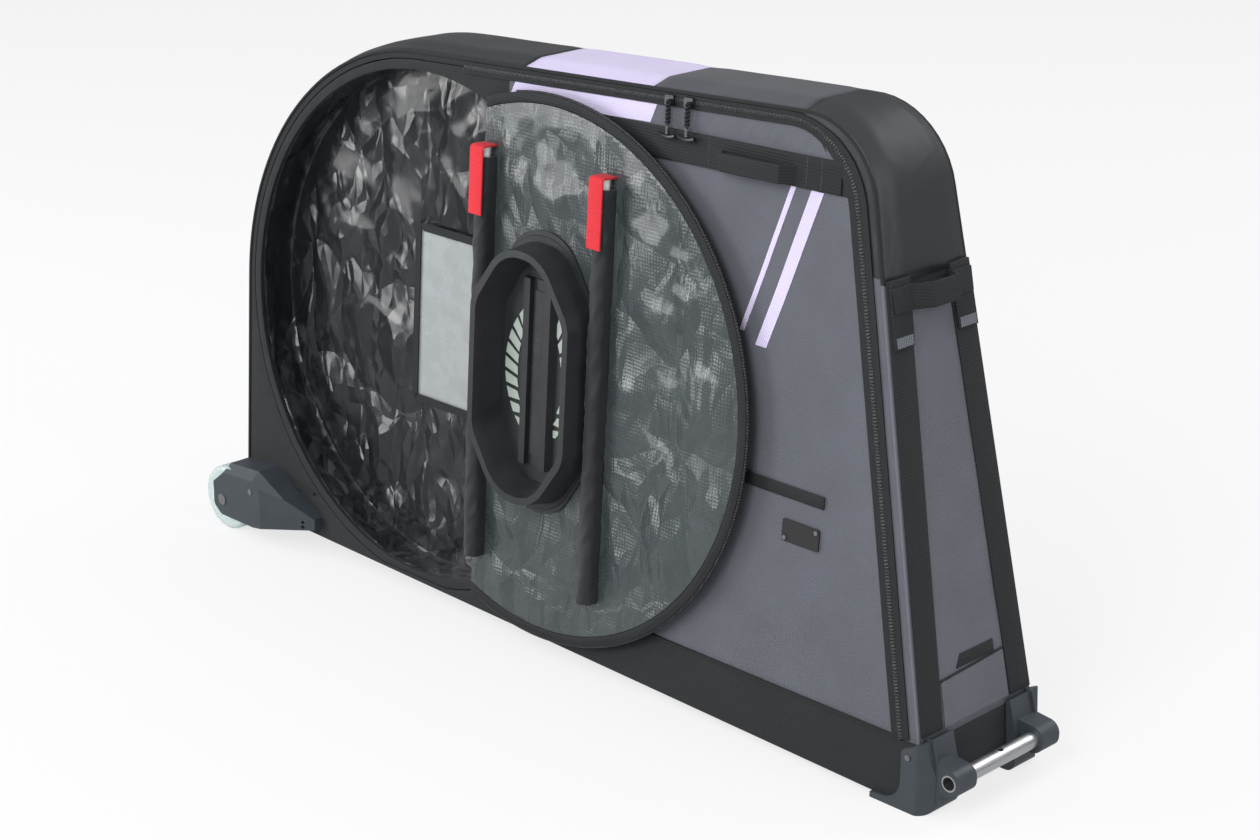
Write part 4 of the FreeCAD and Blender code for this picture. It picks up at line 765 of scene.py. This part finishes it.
class TRAVELCASE_OT_sides(bpy.types.Operator):
    """Side panels, and the frame that the main zip closes against"""
    bl_idname = "travel_case.sides"
    bl_label = "Side panels"

    def execute(self, context):
        s = sizes()
        pitch = s.cloth_pitch * 1.5
        hinge = arch_centre()[0] + s.hinge_ahead
        for seed, (side, label, body) in enumerate(SIDES, 1):
            sunk = taut(side_normal(side), -1.6 * MM, 2.2 * MM, 0.13, seed)
            piece = soft_piece(label + "_side_panel", label + "_side_cloth", body, "grey", 1.2 * MM,
                               (0, 2), pitch, sunk)
            # The black cloth of the arch runs on past the hinge, further along the top
            recolour(piece, "black", lambda f: f.center.x < hinge + (0.036 if f.center.z > 0.76 else 0.004))
        puffed = taut(side_normal(NEAR), 2 * MM, 2 * MM, 0.1, 3)
        ring = soft_piece("near_zip_frame", "near_zip_frame_cloth", "case", "black", 1.0 * MM,
                          (0, 2), pitch, puffed)
        recolour(ring, "hood", lambda f: f.center.x > s.hood_start and f.center.z > s.hood_seam)
        recolour(ring, "grey", lambda f: f.center.x > s.hood_start and f.center.z <= s.hood_seam)
        return {"FINISHED"}


class TRAVELCASE_OT_tray(bpy.types.Operator):
    """Base tray of heavy cloth"""
    bl_idname = "travel_case.tray"
    bl_label = "Base tray"

    def execute(self, context):
        def move(point, distance):
            out = Vector((0, 1 if point.y > 0 else -1, 0)) if abs(point.y) > 0.1 else Vector((0, 0, 0))
            return out * settle(distance, 0.05) * (1 * MM + 2 * MM * ripple(point, 0.12, 7))

        tray = soft_piece("base_tray", "base_tray_cloth", "case", "black", 2 * MM, (0, 2),
                          sizes().cloth_pitch * 1.6, move)
        return {"FINISHED"}


class TRAVELCASE_OT_pockets(bpy.types.Operator):
    """Tarpaulin pans of the two wheel pockets, with their hub plates"""
    bl_idname = "travel_case.pockets"
    bl_label = "Wheel pockets"

    def execute(self, context):
        middle_x, middle_z = arch_centre()
        wall = POCKET_MOUTH - POCKET_BACK
        total = wall + POCKET_RADIUS
        rim = 2 * math.pi * POCKET_RADIUS
        for side, label, body in SIDES:
            normal = side_normal(side)

            def place(u, v):
                turn = 2 * math.pi * u
                run = v * total
                out = POCKET_MOUTH - min(run, wall)
                reach = POCKET_RADIUS if run < wall else POCKET_RADIUS - (run - wall)
                spot = side_point(side, middle_x + reach * math.cos(turn), out,
                                  up_side(middle_z) + reach * math.sin(turn))
                if run > wall:
                    beside_plate = max(abs(spot.x - middle_x) - PLATE_REACH[0],
                                       abs(spot.z - middle_z) - PLATE_REACH[1])
                    free = settle(POCKET_RADIUS - reach, 0.05) * settle(beside_plate, 0.04)
                    fold = crease(spot, 0.14, side) + 0.6 * crease(spot, 0.07, side + 5) - 0.6
                    spot += normal * free * 4.5 * MM * fold
                return spot

            bm = grid_mesh(180, 60, place, rim, total)
            bmesh.ops.remove_doubles(bm, verts=bm.verts, dist=WELD)
            box_uv(bm)
            turn_faces(bm, normal)
            piece = add_piece(bm, label + "_pocket_cloth", body, "pocket",
                              [label + "_pocket_liner"], thickness=1.0 * MM)
            plate_middle = side_point(side, middle_x, POCKET_BACK + 6.2 * MM, up_side(middle_z))
            loop = frame_loop(plate_middle, Vector((1, 0, 0)), side_upright(side), *PLATE_BORDER)
            border = ribbon(loop, 12 * MM, 0.8 * MM, normal)
            add_piece(border, label + "_plate_border", body, "webbing")
            paint([label + "_hub_plate"], "plate")
        return {"FINISHED"}


class TRAVELCASE_OT_covers(bpy.types.Operator):
    """Round covers with their bound rims, hinge welts, rod sleeves and red tabs"""
    bl_idname = "travel_case.covers"
    bl_label = "Round covers"

    def execute(self, context):
        for side, label, panel in SIDES:
            self.sew_cover(side, label, panel)

        def wrap(point, distance):
            slanted = Vector((point.x, point.y, point.z - 1.2 * point.x))
            return Vector((ripple(slanted, 0.016, 2), ripple(slanted, 0.016, 3), 0)) * 2.2 * MM

        for node, body in (("near_sleeve_front", "near_cover"), ("near_sleeve_rear", "near_cover"),
                           ("far_sleeves", "far_cover")):
            soft_piece(node, node + "_cloth", body, "sleeve", 2.5 * MM, (2,), 6 * MM, wrap)
        for node, body in (("near_tab_front", "near_tab_front"), ("near_tab_rear", "near_tab_rear"),
                           ("far_tabs", "far_cover")):
            soft_piece(node, node + "_tape", body, "red", 0.9 * MM, (2,), 6 * MM)
        for side, label, _ in SIDES:
            self.mark_cup(side, label)
        paint(["near_rod_front", "near_rod_rear", "far_rods"], "rod")
        paint(["near_hub_cup", "far_hub_cup"], "cup")
        return {"FINISHED"}

    def sew_cover(self, side, label, panel):
        """A crumpled cover sheet in its bound rim, and the welt that hinges it to its panel."""
        body = label + "_cover"
        centre = hub_point(side, 0, 0, 0)
        inward = lining_normal(side)

        def move(point, distance):
            away = point - centre
            turn = math.atan2(away.z, away.x)
            beside_cup = max(abs(away.x) - CUP_REACH[0], abs(away.z) - CUP_REACH[1])
            beside_rod = abs(abs(away.x) - ROD_OFFSET) - SLEEVE_HALF
            free = settle(distance, 0.04) * settle(beside_cup, 0.05) * settle(beside_rod, 0.025)
            radial = math.sin(turn * 17 + 2.5 * ripple(point, 0.1, 4)) * settle(away.length - 0.12, 0.15)
            drift = Vector((ripple(point, 0.08, 5), 0, ripple(point, 0.08, 6))) * 0.02
            fold = facets(point + drift, 0.09, 8) + 0.4 * facets(point + drift, 0.04, 9) - 0.5
            return inward * free * (1.6 * MM * radial + 7 * MM * fold)

        sheet = soft_piece(label + "_cover_sheet", label + "_cover_cloth", body, "cover",
                           0.8 * MM, (0, 2), 6 * MM, move)
        recolour(sheet, "charcoal", lambda f: f.normal.dot(inward) < -0.5)
        soft_piece(label + "_cover_rim", label + "_rim_binding", body, "webbing", 2.2 * MM)
        soft_piece(label + "_cover_welt", label + "_welt_tape", panel, "webbing", 0, (2,), 20 * MM)

    def mark_cup(self, side, label):
        """Pale hatched arcs on a cup's floor, and the glossy strip in its channel."""
        floor, channel = -3.4 * MM, -6.6 * MM
        arcs = bmesh.new()
        for sign, first, last in ((1, -ARC_TURN, 0.74), (-1, 0.2, 0.74), (-1, -ARC_TURN, -0.3)):
            count = max(2, round((last - first) / 0.17))
            for i in range(count):
                start = first + (last - first) * i / count
                width = 26 * MM * (1 - 0.6 * (abs(start) / ARC_TURN) ** 2)
                bar = bmesh.ops.create_grid(arcs, x_segments=2, y_segments=1, size=0.5)
                for vert in bar["verts"]:
                    turn = start + (vert.co.x + 0.5) * 0.125 + (vert.co.y + 0.5) * 0.08
                    reach = ARC_RADIUS + (vert.co.y - 0.5) * width
                    x = sign * max(reach * math.cos(turn) - ARC_SHIFT, ARC_CLEAR)
                    vert.co = hub_point(side, x, floor, reach * math.sin(turn))
        inward = lining_normal(side)
        thicken(arcs, inward, 0.4 * MM)
        add_piece(arcs, label + "_cup_marks", label + "_cover", "mark")
        line = Route([hub_point(side, 0, channel, up) for up in (-0.118, 0.118)])
        add_piece(ribbon(line, 24 * MM, 0.6 * MM, inward), label + "_cup_strip", label + "_cover", "gloss")


class TRAVELCASE_OT_webbing(bpy.types.Operator):
    """Webbing handles, end straps, the end pocket's tab and the ties inside"""
    bl_idname = "travel_case.webbing"
    bl_label = "Webbing"

    def execute(self, context):
        for node in ("near_handle", "far_handle", "end_handle", "end_strap_near", "end_strap_far",
                     "end_pocket_tab", "tie_straps"):
            body = "near_panel" if node == "near_handle" else "case"
            soft_piece(node, node + "_webbing", body, "webbing", 0.8 * MM, (2,), 10 * MM)
        return {"FINISHED"}


class TRAVELCASE_OT_zips(bpy.types.Operator):
    """Main zip round the near panel, the covers' zips and the small pocket's zip"""
    bl_idname = "travel_case.zips"
    bl_label = "Zips"

    def execute(self, context):
        out = side_normal(NEAR)
        flat = band_route(14.3 * MM, 16 * MM, sizes().hood_radius - 4.2 * MM)
        line = Route([side_point(NEAR, p.x, 0.8 * MM, up_side(p.y)) for p in flat.points])
        start = flat.where(lambda p: p.x > -0.2 and p.y > TOP_ZONE)

        def width(point):
            """The tapes widen round the hood."""
            return 8.5 * MM + 5.5 * MM * settle(point.x - 0.42, 0.1)

        for label, body, lean in (("frame", "case", -1), ("panel", "near_panel", 1)):
            tape = ribbon(line, width, 1.4 * MM, out, start, lean)
            add_piece(tape, f"main_zip_tape_{label}", body, "webbing")
        coil = round_tube(line, 2.6 * MM, out, pitch=0.006, start=start, flat=1.7)
        add_piece(coil, "main_zip_coil", "near_panel", "coil")
        for label in ("rear", "front"):
            self.hang_pull(label)
        soft_piece("pocket_zip", "pocket_zip_tape", "near_panel", "webbing", 0.4 * MM, (0,), 10 * MM)
        for side, label, _ in SIDES:
            points = [hub_point(side, x, 3.8 * MM, up)
                      for x, up in arc((0, 0), COVER_ZIP_RADIUS, math.radians(79), math.radians(288), 105)]
            coil = round_tube(Route(points), 2.0 * MM, lining_normal(side))
            add_piece(coil, label + "_cover_coil", label + "_cover", "coil")
        paint(["main_zip_slider_rear", "main_zip_slider_front", "pocket_zip_slider"], "slider")
        return {"FINISHED"}

    def hang_pull(self, label):
        """A zip pull: a twisted cord, a metal stem and a crossbar for the fingers."""
        node, body = f"main_zip_pull_{label}", f"zip_pull_{label}"
        low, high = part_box(node)
        out, down, along = side_normal(NEAR), -side_upright(NEAR), Vector((1, 0, 0))
        drop = (high.z - low.z) / abs(down.z)
        top = (low + high) / 2 - down * drop / 2
        strands = bmesh.new()
        for first in (0, math.pi):
            spots = []
            for i in range(1, 34):
                turn = first + i * 0.6
                spots.append(top + down * (i * MM) + (along * math.cos(turn) + out * math.sin(turn)) * 1.9 * MM)
            mesh = new_mesh(round_tube(Route(spots), 2.2 * MM, out, sides=6, pitch=0.0012), "strand")
            strands.from_mesh(mesh)
            bpy.data.meshes.remove(mesh)
        add_piece(strands, f"zip_pull_cord_{label}", body, "webbing", [node])
        stem = round_tube(Route([top + down * 0.031, top + down * 0.045]), 2.3 * MM, out, pitch=0.004)
        add_piece(stem, f"zip_pull_stem_{label}", body, "steel")
        spots = [top + along * (x * MM) + down * (drop - 3.5 * MM - 3 * MM * (x / 15) ** 2)
                 for x in range(-15, 16, 3)]
        bar = round_tube(Route(spots), 2.8 * MM, out, pitch=0.002)
        add_piece(bar, f"zip_pull_bar_{label}", body, "slider")


class TRAVELCASE_OT_trim(bpy.types.Operator):
    """Lilac strip, stripes, piping, bindings, stitched boxes, patch and rivets"""
    bl_idname = "travel_case.trim"
    bl_label = "Trim"

    def execute(self, context):
        self.trim_side()
        for side, label, _ in SIDES:
            self.bind_edges(side, label)
        self.trim_end()
        paint(["label_patch"], "patch")
        paint(["label_rivets"], "steel")
        return {"FINISHED"}

    def trim_side(self):
        """Strips, stripes and stitches of the near side, with corners given by x and z in metres."""
        out = side_normal(NEAR)

        def lay(corners, pitch=TAPE_PITCH):
            spots = [side_point(NEAR, x, 0, up_side(z)) for x, z in corners]
            return drape(flat_patch(spots, pitch), "near_side_cloth", out)

        def patch(name, finish, slot, *corners):
            add_piece(thicken(lay(corners), out, 0.7 * MM), name, "near_panel", finish)

        patch("lilac_side_strip", "lilac", "lilac_fabric",
              (-0.111, 0.780), (0.159, 0.794), (0.170, 0.8195), (-0.097, 0.8065))
        patch("near_handle_tail", "webbing", "webbing",
              (0.484, 0.7587), (0.503, 0.7592), (0.490, 0.801), (0.484, 0.801))
        strip = lay(((0.176, 0.796), (0.462, 0.8035), (0.440, 0.8335), (0.189, 0.8205)), 4 * MM)
        for vert in strip.verts:
            x, z = vert.co.x, vert.co.z
            # The strip's lower edge and its height at x follow from its corners; it puckers most half way up
            edge, tall = 0.7914 + 0.0262 * x, 0.0193 + 0.0256 * x
            swell = math.sin(math.pi * min(max((z - edge) / tall, 0), 1))
            vert.co += out * 2.4 * MM * swell * (ripple(Vector((x - 0.7 * z, 0, 0.15 * z)), 0.011, 3) + 0.45)
        add_piece(thicken(strip, out, 0.3 * MM), "near_top_strip", "near_panel", "grey")
        stitches = bmesh.new()
        for x in (0.268, 0.432, 0.456):
            low, high = [side_point(NEAR, x, 0, up_side(0.767 + 0.027 * x + z)) for z in (-0.019, 0.019)]
            stitch_row(stitches, low, high, out)
        bmesh.ops.translate(stitches, vec=out * 2.65 * MM, verts=stitches.verts)
        add_piece(stitches, "near_handle_stitches", "near_panel", "thread")
        patch("slanted_stripe_wide", "lilac", "lilac_fabric",
              (0.363, 0.541), (0.382, 0.541), (0.459, 0.757), (0.439, 0.757))
        patch("slanted_stripe_thin", "lilac", "lilac_fabric",
              (0.334, 0.555), (0.342, 0.555), (0.414, 0.757), (0.406, 0.757))

    def bind_edges(self, side, label):
        """Binding and piping along the band's edge, and the tray's hem on both sides of the cover."""
        s = sizes()
        out = side_normal(side)
        flat = band_route(3 * MM)
        seam = hood_seam_on(flat)
        edge = Route([Vector((p.x, side * (s.half_base - s.side_lean * p.y), p.y)) for p in flat.points])
        binding = round_tube(edge, 2.6 * MM, out, sides=6, pitch=0.016, end=seam)
        add_piece(binding, label + "_edge_binding", "case", "webbing")
        piping = round_tube(edge, 2.2 * MM, out, sides=6, pitch=0.016, start=seam)
        add_piece(piping, label + "_end_piping", "case", "piping")
        middle = arch_centre()
        rear, front = 0.012 - s.rear_reach, s.end_reach - 0.03
        hem = [side_point(side, rear + (front - rear) * i / 60, 0.4 * MM, up_side(s.tray_height))
               for i in range(61)]
        hem = [p for p in hem if math.hypot(p.x - middle[0], p.z - middle[1]) > s.arch_radius - 0.012]
        for part, points in (("front", [p for p in hem if p.x > middle[0]]),
                             ("rear", [p for p in hem if p.x < middle[0]])):
            tube = round_tube(Route(points), 2.6 * MM, out, sides=6, pitch=0.03)
            add_piece(tube, f"{label}_tray_hem_{part}", "case", "webbing")

    def trim_end(self):
        """Stitched tails of the end straps, backing of the end handle, and the end pocket."""
        s = sizes()
        out = end_point(1, 0, 0) - end_point(0, 0, 0)
        hood_line = (s.hood_seam - s.tray_height) * math.hypot(1, s.end_lean)
        high, low = hood_line - 0.071, hood_line - 0.084
        for side, label, _ in SIDES:
            left, right = side * 0.0627 - 16 * MM, side * 0.0627 + 16 * MM
            corners = (left, low), (right, low), (right, high), (left, high)
            box = thicken(flat_patch([end_point(7.05 * MM, y, up) for y, up in corners]), out, 0.7 * MM)
            add_piece(box, label + "_tail_stitching", "case", "pale_stitch")

        def patch(name, thickness, finish, slot, *corners):
            cloth = drape(flat_patch([end_point(0, y, up) for y, up in corners]), "end_cloth", out)
            add_piece(thicken(cloth, out, thickness), name, "case", finish)

        backing = hood_line - 0.038
        patch("end_handle_backing", 1.0 * MM, "webbing", "binding",
              (-0.040, backing), (0.040, backing), (0.039, hood_line), (-0.039, hood_line))
        patch("end_pocket_cloth", 1.6 * MM, "grey", "grey_fabric",
              (-0.066, 0.009), (0.066, 0.009), (0.064, 0.074), (-0.064, 0.068))
        patch("end_pocket_hem", 2.2 * MM, "webbing", "binding",
              (-0.064, 0.068), (0.064, 0.074), (0.064, 0.0765), (-0.064, 0.0705))


class TRAVELCASE_OT_mouldings(bpy.types.Operator):
    """Feet, pull bar, roller housings, rollers and screws"""
    bl_idname = "travel_case.mouldings"
    bl_label = "Mouldings and metal"

    def execute(self, context):
        paint(["foot_near", "foot_far", "roller_housing_near", "roller_housing_far"], "slate")
        paint(["pull_bar"], "aluminium")
        paint(["roller_axle_near", "roller_axle_far", "housing_screws", "foot_screws"], "steel")
        paint(["roller_tyre_near", "roller_tyre_far"], "urethane")
        paint(["roller_core_near", "roller_core_far"], "core")
        return {"FINISHED"}


class TRAVELCASE_OT_inside(bpy.types.Operator):
    """Floor board and the block that carries the frame"""
    bl_idname = "travel_case.inside"
    bl_label = "Inside"

    def execute(self, context):
        paint(["floor_board"], "board")
        paint(["frame_block"], "foam")
        return {"FINISHED"}


class TRAVELCASE_OT_stage(bpy.types.Operator):
    """Pale floor, soft lights and the camera at the photograph's angle"""
    bl_idname = "travel_case.stage"
    bl_label = "Stage"

    def execute(self, context):
        context.scene.view_settings.view_transform = "Standard"
        self.lay_floor()
        self.light(context.scene)
        self.aim_camera(context.scene)
        return {"FINISHED"}

    def lay_floor(self):
        """A floor that the camera sees as plain white paper and glossy cloth mirrors more darkly."""
        bm = bmesh.new()
        bmesh.ops.create_circle(bm, cap_ends=True, segments=64, radius=30)
        floor = add_object("floor", new_mesh(bm, "floor"))
        material, tree, surface = new_material("pale_floor")
        connect(tree, surface, Base_Color=linear("f6f6f7"), Roughness=0.9)
        path = add_node(tree, "LightPath")
        shine = add_node(tree, "Emission", Color=linear("f7f7f8"), Strength=1.0)
        seen = add_node(tree, "Math", {"operation": "MULTIPLY"}, in_0=path.outputs["Is Camera Ray"], in_1=0.8)
        mixed = add_node(tree, "MixShader", Fac=seen, in_1=surface, in_2=shine)
        dim = add_node(tree, "Emission", Color=linear("f7f7f8"), Strength=0.55)
        mirrored = add_node(tree, "MixShader", Fac=path.outputs["Is Glossy Ray"], in_1=mixed, in_2=dim)
        connect(tree, tree.nodes["Material Output"], Surface=mirrored)
        floor.data.materials.append(material)

    def light(self, scene):
        """A sky that is brighter overhead, and soft square lamps."""
        scene.world = bpy.data.worlds.new("studio")
        scene.world.use_nodes = True
        sky = scene.world.node_tree
        way = add_node(sky, "TexCoord")
        split = add_node(sky, "SeparateXYZ", Vector=way.outputs["Generated"])
        glow = add_node(sky, "MapRange", Value=split.outputs["Z"], From_Min=0.2, To_Min=0.2, To_Max=1.0)
        connect(sky, sky.nodes["Background"], Color=linear("f7f7f8"), Strength=glow)
        for name, place, size, power in LAMPS:
            lamp = bpy.data.lights.new(name, "AREA")
            lamp.size = size
            lamp.energy = power
            item = add_object(name, lamp)
            item.location = place
            item.rotation_euler = (Vector(LAMP_TARGET) - Vector(place)).to_track_quat("-Z", "Y").to_euler()

    def aim_camera(self, scene):
        yaw, pitch, roll = [math.radians(turn) for turn in CAMERA_TURN]
        back = Vector((math.sin(yaw) * math.cos(pitch), -math.cos(yaw) * math.cos(pitch), math.sin(pitch)))
        right = Vector((math.cos(yaw), math.sin(yaw), 0))
        up = back.cross(right)
        across = right * math.cos(roll) + up * math.sin(roll)
        upright = up * math.cos(roll) - right * math.sin(roll)
        eye = bpy.data.cameras.new("camera")
        eye.lens = CAMERA_LENS
        eye.sensor_width = CAMERA_SENSOR
        scene.camera = add_object("camera", eye)
        turned = Matrix((across, upright, back)).transposed().to_4x4()
        scene.camera.matrix_world = Matrix.Translation(CAMERA_PLACE) @ turned


OPERATORS = (TRAVELCASE_OT_band, TRAVELCASE_OT_sides, TRAVELCASE_OT_tray, TRAVELCASE_OT_pockets,
             TRAVELCASE_OT_covers, TRAVELCASE_OT_webbing, TRAVELCASE_OT_zips, TRAVELCASE_OT_trim,
             TRAVELCASE_OT_mouldings, TRAVELCASE_OT_inside, TRAVELCASE_OT_stage)


class TRAVELCASE_PT_panel(bpy.types.Panel):
    """Lists the pieces of the travel case"""
    bl_idname = "TRAVELCASE_PT_panel"
    bl_label = "Travel case"
    bl_space_type = "VIEW_3D"
    bl_region_type = "UI"
    bl_category = "Travel case"

    def draw(self, context):
        for operator in OPERATORS:
            self.layout.operator(operator.bl_idname)


CLASSES = (TravelCaseSizes, TravelCaseColours) + OPERATORS + (TRAVELCASE_PT_panel,)


def register():
    for item in CLASSES:
        bpy.utils.register_class(item)
    bpy.types.Scene.travel_case_sizes = bpy.props.PointerProperty(type=TravelCaseSizes)
    bpy.types.Scene.travel_case_colours = bpy.props.PointerProperty(type=TravelCaseColours)


def unregister():
    del bpy.types.Scene.travel_case_colours
    del bpy.types.Scene.travel_case_sizes
    for item in reversed(CLASSES):
        bpy.utils.unregister_class(item)


def main():
    register()
    bpy.ops.travel_case.band()
    bpy.ops.travel_case.sides()
    bpy.ops.travel_case.tray()
    bpy.ops.travel_case.pockets()
    bpy.ops.travel_case.covers()
    bpy.ops.travel_case.webbing()
    bpy.ops.travel_case.zips()
    bpy.ops.travel_case.trim()
    bpy.ops.travel_case.mouldings()
    bpy.ops.travel_case.inside()
    bpy.ops.travel_case.stage()


if __name__ == "__main__":
    main()
